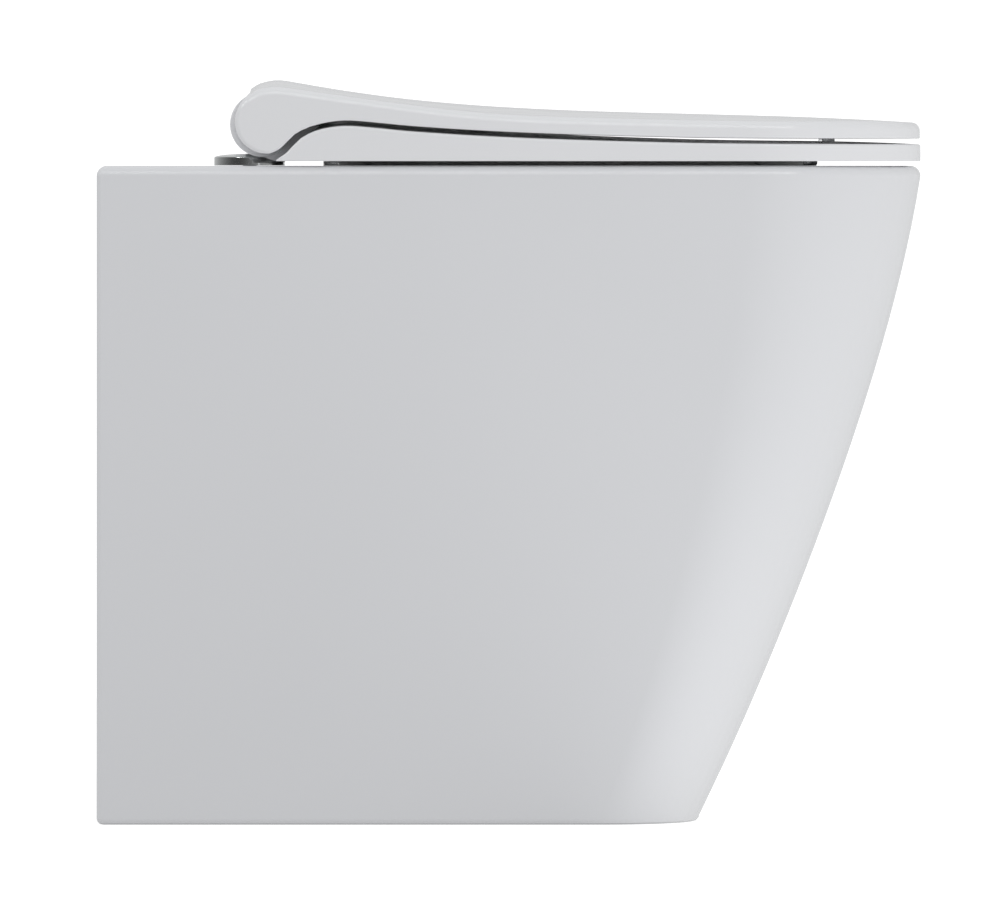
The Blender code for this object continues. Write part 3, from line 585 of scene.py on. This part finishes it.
def make_pan():
    """The whole casting: glazed skirt, deck and bowl, unglazed inside the skirt."""
    loops = []
    for a in between(0, pi / 2, 3):
        edge = FOOT_FILLET * (1 - sin(a))
        loops.append(pan_loop(FOOT_FILLET * (1 - cos(a)), edge, profile_z=FOOT_FILLET))
    loops += [pan_loop(z) for z in between(FOOT_FILLET, RIM - RIM_FILLET, 26)[1:]]
    for a in between(0, pi / 2, 8)[1:]:
        edge = RIM_FILLET * (1 - cos(a))
        loops.append(pan_loop(RIM - RIM_FILLET * (1 - sin(a)), edge, profile_z=RIM - RIM_FILLET))
    pan = loft("toilet_pan", loops)
    pan.data.materials.append(None)

    heights = [-0.010] + between(0.0, RIM - DECK, 14)
    hollow = [pan_loop(z, WALL, DEPTH / 2 + 0.06, 0.004, max(z, 0.0), 48) for z in heights]
    combine(pan, loft("skirt_hollow", hollow, index=1))

    bottom, sump = BOWL[0][0], 0.012
    outside = []
    for a in between(0, pi / 2, 5):
        grow = BOWL_WALL - sump * (1 - sin(a))
        outside.append(bowl_loop(bottom, grow, bottom - BOWL_WALL + sump * (1 - cos(a))))
    outside += [bowl_loop(z, BOWL_WALL) for z in between(bottom + 0.006, RIM - DECK + 0.002, 26)]
    combine(pan, loft("bowl_outside", outside, index=1), "UNION")
    combine(pan, tube("trap_outside", water_route(0.010), WATER_TUBE_R, index=1), "UNION")
    spigot = [(OUTLET_R - 0.006, 0.158), (OUTLET_R - 0.001, 0.163), (OUTLET_R, 0.166)]
    spigot += [(OUTLET_R, SPIGOT_END - 0.0015), (OUTLET_R - 0.0015, SPIGOT_END)]
    combine(pan, revolve("spigot", "Y", spigot, (0, OUTLET_Z), index=1), "UNION")
    boss = [(INLET_R, 0.075), (INLET_R, INLET_END - 0.002), (INLET_R - 0.002, INLET_END)]
    combine(pan, revolve("inlet_boss", "Y", boss, (0, INLET_Z), index=1), "UNION")

    combine(pan, bowl_inside())
    bore = water_route(0.0) + [(SPIGOT_END - 0.020, OUTLET_Z)]
    combine(pan, tube("trap_inside", bore, WATER_BORE_R))
    mouth = [(OUTLET_BORE_R, SPIGOT_END - 0.030), (OUTLET_BORE_R, SPIGOT_END - 0.001)]
    mouth += [(OUTLET_BORE_R + 0.002, SPIGOT_END + 0.001), (OUTLET_BORE_R + 0.002, SPIGOT_END + 0.01)]
    combine(pan, revolve("outlet_bore", "Y", mouth, (0, OUTLET_Z)))
    mouth = [(INLET_BORE_R, 0.118), (INLET_BORE_R, INLET_END - 0.001)]
    mouth += [(INLET_BORE_R + 0.0015, INLET_END + 0.0005), (INLET_BORE_R + 0.0015, INLET_END + 0.01)]
    combine(pan, revolve("inlet_bore", "Y", mouth, (0, INLET_Z), index=1))
    combine(pan, box("flush_slot", *FLUSH_SLOT))
    for side, word in SIDES:
        hole = [(HINGE_HOLE_R, RIM - 0.05), (HINGE_HOLE_R, RIM + 0.01)]
        combine(pan, revolve("hinge_hole_" + word, "Z", hole, (side * HINGE_X, ROSE_Y), 32, index=1))
        low, high = sorted((side * (HALF_WIDTH - WALL - 0.01), side * (HALF_WIDTH - 0.005)))
        hole = [(BRACKET_HOLE_R, low), (BRACKET_HOLE_R, high)]
        combine(pan, revolve("bracket_hole_" + word, "X", hole, (BRACKET_Y, BRACKET_BOLT_Z), 24, index=1))
    settle(pan, 40)
    for polygon in pan.data.polygons:
        if polygon.center.z < FOOT_FILLET / 4:
            polygon.material_index = 1
    weigh_normals(pan)
    nodes = ("pan_shroud", "pan_bowl", "pan_trapway", "pan_inlet")
    present(pan, "pan", "ceramic", ("glaze", "bisque"), *nodes)


# ---------------------------------------------------------------- seat ring
def seat_height(depth, x):
    """Upper surface of the seat: its edge plus a low crown towards the opening."""
    straight = DEPTH - NOSE
    ahead = max(depth - straight, 0.0) / NOSE
    reach = min(hypot(x / HALF_WIDTH, ahead), 1.0)
    return smooth_curve(SEAT_TOP, depth) + smooth_curve(SEAT_CROWN, depth) * (1 - reach**3) / (1 - 0.7**3)


def seat_low(_):
    """Underside of the seat."""
    return SEAT_LIFT


def seat_rows():
    """Side outline of the seat, from the top round the thin rear edge to the underside."""
    straight = DEPTH - NOSE
    rows = []
    for depth in reversed(between(SEAT_REAR_EDGE, straight, 64)):
        height = smooth_curve(SEAT_TOP, depth)
        rows.append((depth, height, min(SEAT_EDGE_R, (height - SEAT_LIFT) * 0.4), 1.0))
    rows += [(SEAT_REAR, 0.0036, 0.0003, 0.0), (SEAT_REAR, SEAT_LIFT, 0.0003, 0.0)]
    rows += [(depth, SEAT_LIFT, 0.0008, 0.0) for depth in between(SEAT_REAR_EDGE, straight, 24)]
    return rows


def opening_cutter(outline_at):
    """Cuts the seat's opening and rounds its upper edge."""
    radius = 0.005
    loops = [[(x, y, RIM - 0.02) for x, y in outline_at(0.0)]]
    for a in between(0, radians(82), 6):
        drop = radius * (1 - sin(a))
        loop = []
        for x, y in outline_at(radius * (1 - cos(a))):
            loop.append((x, y, RIM + seat_height(DEPTH / 2 - y, abs(x)) - drop))
        loops.append(loop)
    loops.append([(x, y, RIM + 0.06) for x, y in outline_at(radius * 1.2)])
    return loft("seat_opening", loops)


def make_seat():
    """Ring with a crowned top, a down-turned lip round its opening, and the roll's lugs at the rear."""
    seat = wrap_solid("toilet_seat", seat_rows(), seat_height, seat_low, DEPTH - NOSE)
    rear, front = SEAT_LIP
    middle, half = DEPTH / 2 - (rear + front) / 2, (front - rear) / 2

    def lip_outline(grow):
        return superellipse(middle, half + grow, SEAT_LIP_HALF_WIDTH + grow, 120)

    combine(seat, prism_z("seat_lip", lip_outline(0.0), RIM + LIP_LIFT, RIM + SEAT_LIFT + 0.004), "UNION")
    low = RIM + SEAT_LIFT
    web = [
        (AXIS_Y, AXIS_Z - ROLL_R + 0.0004), (AXIS_Y - 0.008, low), (AXIS_Y - 0.045, low),
        (AXIS_Y - 0.045, RIM + 0.0225), (AXIS_Y - 0.018, RIM + 0.0290),
    ]
    for name, x_low, x_high in (
        ("middle_roll", -MIDDLE_ROLL, MIDDLE_ROLL),
        ("lug_roll_right", LUG_IN, LUG_OUT),
        ("lug_roll_left", -LUG_OUT, -LUG_IN),
    ):
        roll = revolve(name, "X", spool(ROLL_R, x_low, x_high, 0.0006), (AXIS_Y, AXIS_Z), 96)
        combine(seat, roll, "UNION")
        combine(seat, prism_x(name + "_web", web, x_low + 0.0006, x_high - 0.0006), "UNION")
    combine(seat, opening_cutter(lambda grow: lip_outline(grow - LIP)))
    channel = prism_z("seat_channel", channel_outline(), RIM - 0.02, RIM + 0.0085)
    combine(channel, prism_z("seat_island", lip_outline(-GAP), RIM - 0.03, RIM + 0.02))
    combine(seat, settle(channel))
    for side, word in SIDES:
        near, far = sorted((side * (HOUSING_IN - 0.0006), side * (HOUSING_OUT + 0.0012)))
        corners = ((near, AXIS_Y - 0.017, RIM), (far, AXIS_Y + 0.03, RIM + 0.06))
        combine(seat, box("housing_clear_" + word, *corners))
        bore = [(PIN_BORE_R, low_x) for low_x in sorted((side * (LUG_IN - 0.01), side * (LUG_OUT + 0.01)))]
        combine(seat, revolve("lug_bore_" + word, "X", bore, (AXIS_Y, AXIS_Z), 40))
        ends = sorted((side * (LUG_IN + 0.004), side * (LUG_OUT + 0.01)))
        bore = [(DAMPER_R + GAP, end) for end in ends]
        combine(seat, revolve("damper_bore_" + word, "X", bore, (AXIS_Y, AXIS_Z), 64))
    settle(seat, 38)
    weigh_normals(seat)
    present(seat, "seat", "seat_plastic", "seat", "seat_ring")


def channel_outline():
    """Outer line of the hollow under the ring, inside the seat's edge."""
    inset, rear = CHANNEL_INSET, DEPTH / 2 - CHANNEL_REAR - CHANNEL_INSET
    side, straight = HALF_WIDTH - inset, DEPTH / 2 - DEPTH + NOSE
    front = [(side * cos(a), straight + (NOSE - inset) * sin(a)) for a in between(0, -pi, 72)]
    return [(side, rear)] + front + [(-side, rear)]


# ---------------------------------------------------------------- lid
def lid_height(depth, x):
    """Upper surface of the lid: crowned between its two edges."""
    edge, crown = smooth_curve(LID_EDGE, depth), smooth_curve(LID_CROWN, depth)
    return edge + (crown - edge) * (1 - (x / HALF_WIDTH) ** 2)


def lid_low(depth):
    """Lower edge of the lid's skirt, parallel to the seat's top edge."""
    return smooth_curve(SEAT_TOP, max(depth, NECK)) + LID_GAP


def around(centre, radius, first, last, count):
    """(depth, height) points on an arc; 0 degrees points to the wall and 90 up."""
    angles = [radians(a) for a in between(first, last, count)]
    return [(centre[0] - radius * cos(a), centre[1] + radius * sin(a)) for a in angles]


def lid_rows():
    """Side outline of the lid with its cheek."""
    straight = LID_FRONT - NOSE
    rows = []
    for depth in reversed(between(0.1020, straight, 70)):
        rows.append((depth, smooth_curve(LID_EDGE, depth), LID_EDGE_R, 1.0))
    rows.append((0.0993, 0.0469, LID_EDGE_R, 1.0))
    for k, (depth, height) in enumerate(around(CHEEK_HUB, CHEEK_R, 58, -82, 44)):
        radius = LID_EDGE_R + (CHEEK_EDGE_R - LID_EDGE_R) * min(k / 10, 1.0)
        rows.append((depth, height, radius, max(0.0, 1 - k / 4)))
    for depth, height in around(AXIS, CHEEK_FOOT_R, -103, -140, 8):
        rows.append((depth, height, 0.0015, 0.0))
    rows += [(depth, height, LID_LOW_R, 0.0) for depth, height in CHEEK_NECK]
    rows += [(depth, lid_low(depth), LID_LOW_R, 0.0) for depth in between(NECK, straight, 60)]
    return rows


def lid_hollow():
    """Hollow under the lid, with rounded inner corners."""
    straight, half_width = LID_FRONT - NOSE, HALF_WIDTH - SKIRT
    shallow = 0.134

    def ceiling(depth, x):
        return lid_height(depth, x) - LID_SKIN

    def below(_):
        return -0.010

    rows = []
    for depth in reversed(between(shallow, straight, 50)):
        rows.append((depth, ceiling(depth, half_width), 0.004, 1.0))
    rows += [(shallow, -0.010, 0.004, 0.0), (straight, -0.010, 0.004, 0.0)]
    return wrap_solid("lid_hollow", rows, ceiling, below, straight, half_width, NOSE - SKIRT)


def rear_hollow():
    """Hollow between the cheeks, over the hinge roll."""
    loops = []
    for depth in between(0.1041, 0.1420, 16):
        y = DEPTH / 2 - depth
        top = [(x, y, RIM + lid_height(depth, x) - LID_SKIN) for x in between(-CHEEK_IN, CHEEK_IN, 16)]
        ends = [(x, y, RIM - 0.010) for x in (CHEEK_IN, -CHEEK_IN)]
        loops.append(top + ends)
    return loft("rear_hollow", loops)


def make_lid():
    """Crowned shell with a side skirt that wraps over the seat, and two round cheeks at the hinge."""
    lid = wrap_solid("toilet_lid", lid_rows(), lid_height, lid_low, LID_FRONT - NOSE)
    combine(lid, lid_hollow())
    combine(lid, rear_hollow())
    clear = [(ROLL_CLEAR_R, -CHEEK_IN), (ROLL_CLEAR_R, CHEEK_IN)]
    combine(lid, revolve("roll_clear", "X", clear, (AXIS_Y, AXIS_Z), 128))
    corners = ((-CHEEK_IN, AXIS_Y - 0.001, RIM - 0.02), (CHEEK_IN, AXIS_Y + 0.05, AXIS_Z + 0.015))
    combine(lid, box("roll_under", *corners))
    slant = [(0.0938, 0.0417), (0.0964, 0.0454), (0.0965, 0.0700), (0.0600, 0.0700), (0.0600, 0.0417)]
    slant = [(DEPTH / 2 - depth, RIM + height) for depth, height in slant]
    combine(lid, prism_x("rear_lip_slant", slant, -CHEEK_IN, CHEEK_IN))
    for side, word in SIDES:
        bore = [(BUSH_BORE_R, end) for end in sorted((side * (CHEEK_IN - 0.005), side * BUSH_BORE_END))]
        combine(lid, revolve("cheek_bore_" + word, "X", bore, (AXIS_Y, AXIS_Z), 48))
    settle(lid, 38)
    weigh_normals(lid)
    present(lid, "lid", "seat_plastic", "seat", "lid")


# ---------------------------------------------------------------- hinges
def ring_profile(outer, bore, low, high, edge):
    """Profile of a washer with eased edges, closed round."""
    return [
        (bore, low + edge), (bore + edge, low), (outer - edge, low), (outer, low + edge),
        (outer, high - edge), (outer - edge, high), (bore + edge, high), (bore, high - edge),
    ]


def hinge_rose(x, word):
    """Chrome disc on the deck with a low dome and a socket for the post."""
    outline = [
        (0.0209, 0.0012), (0.0211, 0.0002), (0.0218, 0.0002), (ROSE_R, 0.0004), (ROSE_R, 0.0050),
        (0.02188, 0.0054), (0.0216, 0.0057), (0.0200, 0.0062), (0.0180, 0.0066), (0.0150, 0.0070),
        (0.0110, 0.0073), (0.0070, 0.0075), (0.0030, 0.0076),
    ]
    profile = [(radius, RIM + height) for radius, height in outline]
    rose = revolve("rose_" + word, "Z", profile, (x, ROSE_Y), 96)
    socket = [(POST_R + GAP, RIM + 0.0056), (POST_R + GAP, RIM + 0.02)]
    combine(rose, revolve("post_socket_" + word, "Z", socket, (x, AXIS_Y), 48))
    socket = [(BOLT_R + GAP, RIM - 0.01), (BOLT_R + GAP, RIM + 0.0049)]
    combine(rose, revolve("bolt_socket_" + word, "Z", socket, (x, ROSE_Y), 32))
    weigh_normals(settle(rose, 30))
    return present(rose, "pan", "chrome", "chrome", "hinge_rose_" + word)


def hinge_post(x, word):
    """Chrome post with the groove that the catch grips and a rounded head."""
    line, foot, top = AXIS_Z - RIM, 0.0059, AXIS_Z - RIM + 0.0075
    groove, ease, crown, head = 0.0016, 0.0003, 0.0025, 0.0030
    outline = [(POST_R - ease, foot), (POST_R, foot + ease), (POST_R, line - groove - ease)]
    outline += [(POST_R - ease, line - groove), (POST_GROOVE_R, line - groove)]
    outline += [(POST_GROOVE_R, line + groove), (POST_R - ease, line + groove)]
    outline.append((POST_R, line + groove + ease))
    outline += [(crown + head * cos(a), top - head + head * sin(a)) for a in between(0, pi / 2, 5)]
    profile = [(radius, RIM + height) for radius, height in outline]
    post = revolve("post_" + word, "Z", profile, (x, AXIS_Y), 64)
    return present(settle(post), "pan", "chrome", "chrome", "hinge_post_" + word)


def hinge_housing(side, word):
    """Half of the hinge roll that plugs onto the post, with its button bore and catch pocket."""
    x, line = side * HINGE_X, (AXIS_Y, AXIS_Z)
    low, high = sorted((side * HOUSING_IN, side * HOUSING_OUT))
    housing = revolve("housing_" + word, "X", spool(ROLL_R, low, high, 0.0008), line, 96)
    foot = RIM + 0.0088
    corners = ((x - 0.04, AXIS_Y - 0.03, RIM - 0.01), (x + 0.04, AXIS_Y + 0.03, foot))
    combine(housing, box("foot_cut_" + word, *corners))
    r = POST_R + 0.0004
    bore = [(r + 0.001, foot - 0.002), (r + 0.001, foot), (r, foot + 0.001), (r, AXIS_Z + 0.0082)]
    combine(housing, revolve("post_bore_" + word, "Z", bore, (x, AXIS_Y), 48))
    bore = [(PIN_R + GAP, end) for end in sorted((side * 0.0886, side * 0.12))]
    combine(housing, revolve("pin_bore_" + word, "X", bore, line, 40))
    half, forward, back, thin = 0.0091, 0.0118, 0.0113, 0.0014
    low = (x - half, AXIS_Y - forward, AXIS_Z - thin)
    high = (x + half, AXIS_Y + back, AXIS_Z + thin)
    combine(housing, box("catch_pocket_" + word, low, high))
    r = BUTTON_R + GAP
    face = AXIS_Y + BUTTON_FACE
    bore = [(r, AXIS_Y + 0.0100), (r, face - 0.0004)]
    bore += [(r + 0.0012, face + 0.0010), (r + 0.0012, face + 0.01)]
    combine(housing, revolve("button_bore_" + word, "Y", bore, (x, AXIS_Z), 56))
    bore = [(0.0034, AXIS_Y - 0.0157), (0.0034, AXIS_Y - 0.0080)]
    combine(housing, revolve("spring_bore_" + word, "Y", bore, (x, AXIS_Z), 24))
    weigh_normals(settle(housing, 30))
    return present(housing, "pan", "seat_plastic", "seat", "hinge_housing_" + word)


def release_button(x, word):
    """Chrome push button with a dished face and a stem to the catch."""
    low, face = AXIS_Y + 0.0125, AXIS_Y + BUTTON_FACE
    stem, ease, fillet = 0.0012, 0.0002, 0.0007
    profile = [(stem, low - 0.0017), (stem, low - 0.0001), (BUTTON_R - ease, low), (BUTTON_R, low + ease)]
    for a in between(0, pi / 2, 5):
        profile.append((BUTTON_R - fillet * (1 - cos(a)), face - fillet * (1 - sin(a))))
    profile += [(r, face - 0.0006 * (1 - (r / 0.0042) ** 2)) for r in (0.0038, 0.0030, 0.0020, 0.0008)]
    button = revolve("button_" + word, "Y", profile, (x, AXIS_Z), 64)
    return present(settle(button, 40), "release_" + word, "chrome", "chrome", "release_button_" + word)


def wing_nut(x, word):
    """Nylon nut with two swept wings under the deck."""
    top = RIM - DECK - GAP - 0.0023
    low, hub = top - NUT_HEIGHT, NUT_R
    profile = [(hub - 0.001, low), (hub, low + 0.001), (hub, top - 0.0006), (hub - 0.0006, top)]
    nut = revolve("nut_" + word, "Z", profile, (x, ROSE_Y), 64)
    loops, ease = [], 0.0006
    for place in between(-WING_REACH, WING_REACH, 24):
        reach = abs(place) / WING_REACH
        thick = 0.0020 - 0.0006 * reach
        round_off = 0.0035 * fade(reach, 0.75, 1.0)
        high, deep = top - 0.0030 - round_off, low + round_off * 1.1
        loops.append([(x + place, ROSE_Y + dy, z) for dy, z in (
            (-thick, deep + ease), (-thick + ease, deep), (thick - ease, deep), (thick, deep + ease),
            (thick, high - ease), (thick - ease, high), (-thick + ease, high), (-thick, high - ease),
        )])
    combine(nut, loft("wings_" + word, loops), "UNION")
    bore = [(BOLT_R + GAP, low - 0.01), (BOLT_R + GAP, top + 0.01)]
    combine(nut, revolve("nut_bore_" + word, "Z", bore, (x, ROSE_Y), 40))
    weigh_normals(settle(nut, 35))
    return present(nut, "wing_nut_" + word, "nylon", "nylon", "wing_nut_" + word)


def make_hinge(side, word):
    """Everything of one hinge that is seen."""
    x = side * HINGE_X
    gasket = revolve("gasket_" + word, "Z", ring_profile(0.0207, 0.009, RIM + GAP, RIM + 0.0009, 0.00015),
                     (x, ROSE_Y), 72, True)
    present(settle(gasket, 50), "pan", "black_rubber", "rubber", "rose_gasket_" + word)
    hinge_rose(x, word)
    hinge_post(x, word)
    hinge_housing(side, word)
    release_button(x, word)
    top = RIM - DECK - GAP
    washer = revolve("washer_" + word, "Z", ring_profile(0.0140, BOLT_R + GAP, top - 0.002, top, 0.0004),
                     (x, ROSE_Y), 64, True)
    present(settle(washer, 50), "pan", "nylon", "nylon", "bolt_washer_" + word)
    wing_nut(x, word)


# ---------------------------------------------------------------- buffers, brackets and inlet seal
def buffer(name, low, high, radius, x, y, body):
    """Soft plastic pad with rounded ends."""
    profile = spool(radius, low, high, min(radius * 0.3, (high - low) * 0.3), 5)
    piece = revolve("pad_" + name, "Z", profile, (x, y), 48)
    present(settle(piece, 60), body, "buffer_rubber", "buffer", name)


def make_buffers(side, word):
    """Soft plastic pads that seat and lid rest on."""
    for place, depth, x, radius, top in SEAT_BUFFERS:
        name = f"seat_buffer_{place}_{word}"
        buffer(name, RIM + GAP, RIM + top, radius, side * x, DEPTH / 2 - depth, "seat")
    for place, depth, x, radius in LID_BUFFERS:
        low = RIM + seat_height(depth, x) + 0.0006
        high = RIM + lid_height(depth, x) - LID_SKIN - 0.0004
        name = f"lid_buffer_{place}_{word}"
        buffer(name, low, high, radius, side * x, DEPTH / 2 - depth, "lid")


def make_fixings(side, word):
    """Bent angle bracket inside the foot and the hexagon bolt that holds it."""
    wall = HALF_WIDTH - WALL - GAP
    bend, thick, leg, toe = 0.006, 0.004, 0.055, wall - 0.045
    outer = arc((wall - bend, GAP + bend), bend, 0, -90, 8)
    inner = arc((wall - bend, GAP + bend), bend - thick, -90, 0, 8)
    foot = [(wall, leg)] + outer + [(toe, GAP), (toe, GAP + thick)] + inner + [(wall - thick, leg)]
    loops = []
    for y in (BRACKET_Y - 0.020, BRACKET_Y + 0.020):
        loops.append([(side * u, y, z) for u, z in foot])
    bracket = loft("angle_bracket_" + word, loops)
    ends = sorted((side * (wall - 0.02), side * (wall + 0.01)))
    hole = [(0.0043, end) for end in ends]
    combine(bracket, revolve("bracket_bolt_hole_" + word, "X", hole, (BRACKET_Y, BRACKET_BOLT_Z), 32))
    hole = [(0.0045, -0.01), (0.0045, 0.02)]
    combine(bracket, revolve("floor_hole_" + word, "Z", hole, (side * (wall - 0.026), BRACKET_Y), 32))
    settle(bracket, 30)
    ease = bracket.modifiers.new("eased_edges", "BEVEL")
    ease.width, ease.segments, ease.limit_method, ease.angle_limit = 0.0006, 2, "ANGLE", radians(40)
    weigh_normals(bracket)
    present(bracket, "pan", "steel", "steel", "floor_bracket_" + word)

    head = [(wall - 0.0093, 0.0062), (wall - 0.0088, 0.0075)]
    head += [(wall - 0.0050, 0.0075), (wall - 0.0043, 0.0075)]
    profile = [(radius, side * place) for place, radius in (head if side < 0 else reversed(head))]
    bolt = revolve("hex_bolt_" + word, "X", profile, (BRACKET_Y, BRACKET_BOLT_Z), 6)
    ends = sorted((side * (wall - 0.0060), side * (wall + 0.0060)))
    shank = [(0.0039, end) for end in ends]
    combine(bolt, revolve("bolt_shank_" + word, "X", shank, (BRACKET_Y, BRACKET_BOLT_Z), 32), "UNION")
    settle(bolt, 25)
    present(bolt, "pan", "steel", "steel", "bracket_bolt_" + word)


def make_inlet_seal():
    """Rubber cone in the flush inlet, with sealing ribs inside and a collar."""
    low, high = INLET_END - 0.030, INLET_END + 0.004
    profile = [(0.0225, low), (0.0262, low), (0.0271, low + 0.002), (0.0271, high - 0.0006), (0.0265, high)]
    profile += [(0.0240, high), (0.0232, high - 0.0010)]
    for k in range(4):
        rib = high - 0.004 - 0.006 * k
        profile += [(0.0232, rib), (0.0225, rib - 0.0012), (0.0232, rib - 0.0024)]
    seal = revolve("flush_seal", "Y", profile, (0, INLET_Z), 72, True)
    present(settle(seal, 40), "pan", "black_rubber", "rubber", "inlet_seal")


make_pan()
make_seat()
make_lid()
for side_sign, side_word in SIDES:
    make_hinge(side_sign, side_word)
    make_buffers(side_sign, side_word)
    make_fixings(side_sign, side_word)
make_inlet_seal()


# ---------------------------------------------------------------- floor, light and camera
LIGHT_SLOPE, LIGHT_LEVEL = (0.03, 0.05, 0.29), 0.650  # for diffuse shading
MIRROR_SLOPE, MIRROR_LEVEL = (0.240, -0.19, 0.02), 0.36  # for reflections
LIGHT_TINT = (0.985, 0.992, 1.0)
STRIP_SIZE = (2.6, 0.7)
STRIP_SHADE, STRIP_SHINE = 1.5, 23.0
FRONT_BOUNCE, REAR_BOUNCE = 1.10, 0.60


def level_square(name, half, z):
    """A level square about the origin."""
    corners = [(-half, -half, z), (half, -half, z), (half, half, z), (-half, half, z)]
    return make_object(name, corners, [(0, 1, 2, 3)])


def make_floor():
    """Plain pale studio floor."""
    floor = level_square("studio_floor", 6.0, 0.0)
    made, tree, shader = material("studio_floor", (0.42, 0.42, 0.42), 0.9, Specular_IOR_Level=0.0)
    shader.inputs["Emission Color"].default_value = (1.0, 1.0, 1.0, 1.0)
    shader.inputs["Emission Strength"].default_value = 0.76
    floor.data.materials.clear()
    floor.data.materials.append(made)
    floor.visible_diffuse = floor.visible_glossy = floor.visible_transmission = floor.visible_shadow = False


def make_world():
    """Soft studio light: brighter above and in front, dimmer behind; white where the camera sees it."""
    world = bpy.data.worlds.new("studio")
    bpy.context.scene.world = world
    world.use_nodes = True
    tree = world.node_tree
    tree.nodes.clear()
    where = tree.nodes.new("ShaderNodeTexCoord")

    def shade(direction, level, tint):
        """A background whose brightness grows along a direction."""
        dot = tree.nodes.new("ShaderNodeVectorMath")
        dot.operation = "DOT_PRODUCT"
        dot.inputs[1].default_value = direction
        tree.links.new(where.outputs["Generated"], dot.inputs[0])
        add = tree.nodes.new("ShaderNodeMath")
        add.operation = "ADD"
        add.inputs[1].default_value = level
        tree.links.new(dot.outputs["Value"], add.inputs[0])
        made = tree.nodes.new("ShaderNodeBackground")
        made.inputs["Color"].default_value = (*tint, 1.0)
        tree.links.new(add.outputs["Value"], made.inputs["Strength"])
        return made

    def choose(ray, usual, special):
        """Use another background for one kind of ray."""
        kind = tree.nodes.new("ShaderNodeLightPath")
        mix = tree.nodes.new("ShaderNodeMixShader")
        tree.links.new(kind.outputs[ray], mix.inputs["Fac"])
        tree.links.new(usual.outputs[0], mix.inputs[1])
        tree.links.new(special.outputs[0], mix.inputs[2])
        return mix

    soft = shade(LIGHT_SLOPE, LIGHT_LEVEL, LIGHT_TINT)
    mirror = shade(MIRROR_SLOPE, MIRROR_LEVEL, LIGHT_TINT)
    white = tree.nodes.new("ShaderNodeBackground")
    white.inputs["Color"].default_value = (1.0, 1.0, 1.0, 1.0)
    white.inputs["Strength"].default_value = 1.2
    seen = choose("Is Transmission Ray", choose("Is Glossy Ray", soft, mirror), white)
    seen = choose("Is Camera Ray", seen, white)
    out = tree.nodes.new("ShaderNodeOutputWorld")
    tree.links.new(seen.outputs[0], out.inputs["Surface"])


def make_light(name, place, target, size, power, shade=True, shine=True):
    """Rectangular soft light, for diffuse shading, for reflections, or for both."""
    data = bpy.data.lights.new(name, "AREA")
    data.shape, data.size, data.size_y = "RECTANGLE", *size
    data.energy = power
    data.color = LIGHT_TINT
    light = bpy.data.objects.new(name, data)
    light.location = place
    light.rotation_euler = (Vector(target) - Vector(place)).to_track_quat("-Z", "Y").to_euler()
    light.visible_camera = False
    light.visible_diffuse, light.visible_glossy = shade, shine
    bpy.context.scene.collection.objects.link(light)


def make_bounce(half=2.0, front_edge=-0.18, rear_edge=-0.02):
    """Light that the floor throws back, brighter in front; only the object's diffuse shading sees it."""
    card = level_square("floor_bounce", half, 0.001)
    made, tree, shader = material("floor_bounce", (0.0, 0.0, 0.0), 1.0, Specular_IOR_Level=0.0)
    shader.inputs["Emission Color"].default_value = (*LIGHT_TINT, 1.0)
    where = tree.nodes.new("ShaderNodeTexCoord")
    parts = tree.nodes.new("ShaderNodeSeparateXYZ")
    span = tree.nodes.new("ShaderNodeMapRange")
    span.interpolation_type = "SMOOTHSTEP"
    span.inputs["From Min"].default_value, span.inputs["From Max"].default_value = front_edge, rear_edge
    span.inputs["To Min"].default_value, span.inputs["To Max"].default_value = FRONT_BOUNCE, REAR_BOUNCE
    tree.links.new(where.outputs["Object"], parts.inputs["Vector"])
    tree.links.new(parts.outputs["Y"], span.inputs["Value"])
    tree.links.new(span.outputs["Result"], shader.inputs["Emission Strength"])
    card.data.materials.clear()
    card.data.materials.append(made)
    card.visible_camera = card.visible_glossy = card.visible_transmission = card.visible_shadow = False


def make_camera():
    """Long lens from the left side, level with the rim."""
    data = bpy.data.cameras.new("camera")
    data.lens, data.sensor_width = 1500.0, 36.0
    data.clip_end = 100.0
    width_seen, rise = 0.62767, 0.180
    middle = Vector((-HALF_WIDTH, 0.00690, 0.23574))
    distance = width_seen * data.lens / data.sensor_width
    camera = bpy.data.objects.new("camera", data)
    camera.location = middle + Vector((-distance, 0.0, rise))
    camera.rotation_euler = (middle - camera.location).to_track_quat("-Z", "Y").to_euler()
    bpy.context.scene.collection.objects.link(camera)
    bpy.context.scene.camera = camera


make_floor()
make_world()
make_light("strip_shade", (-1.15, -0.40, 1.25), (-0.15, -0.40, 0.35), STRIP_SIZE, STRIP_SHADE, shine=False)
make_light("strip_shine", (-1.15, -0.10, 1.25), (-0.15, -0.10, 0.35), STRIP_SIZE, STRIP_SHINE, shade=False)
make_bounce()
make_camera()
bpy.context.scene.view_settings.view_transform = "Standard"
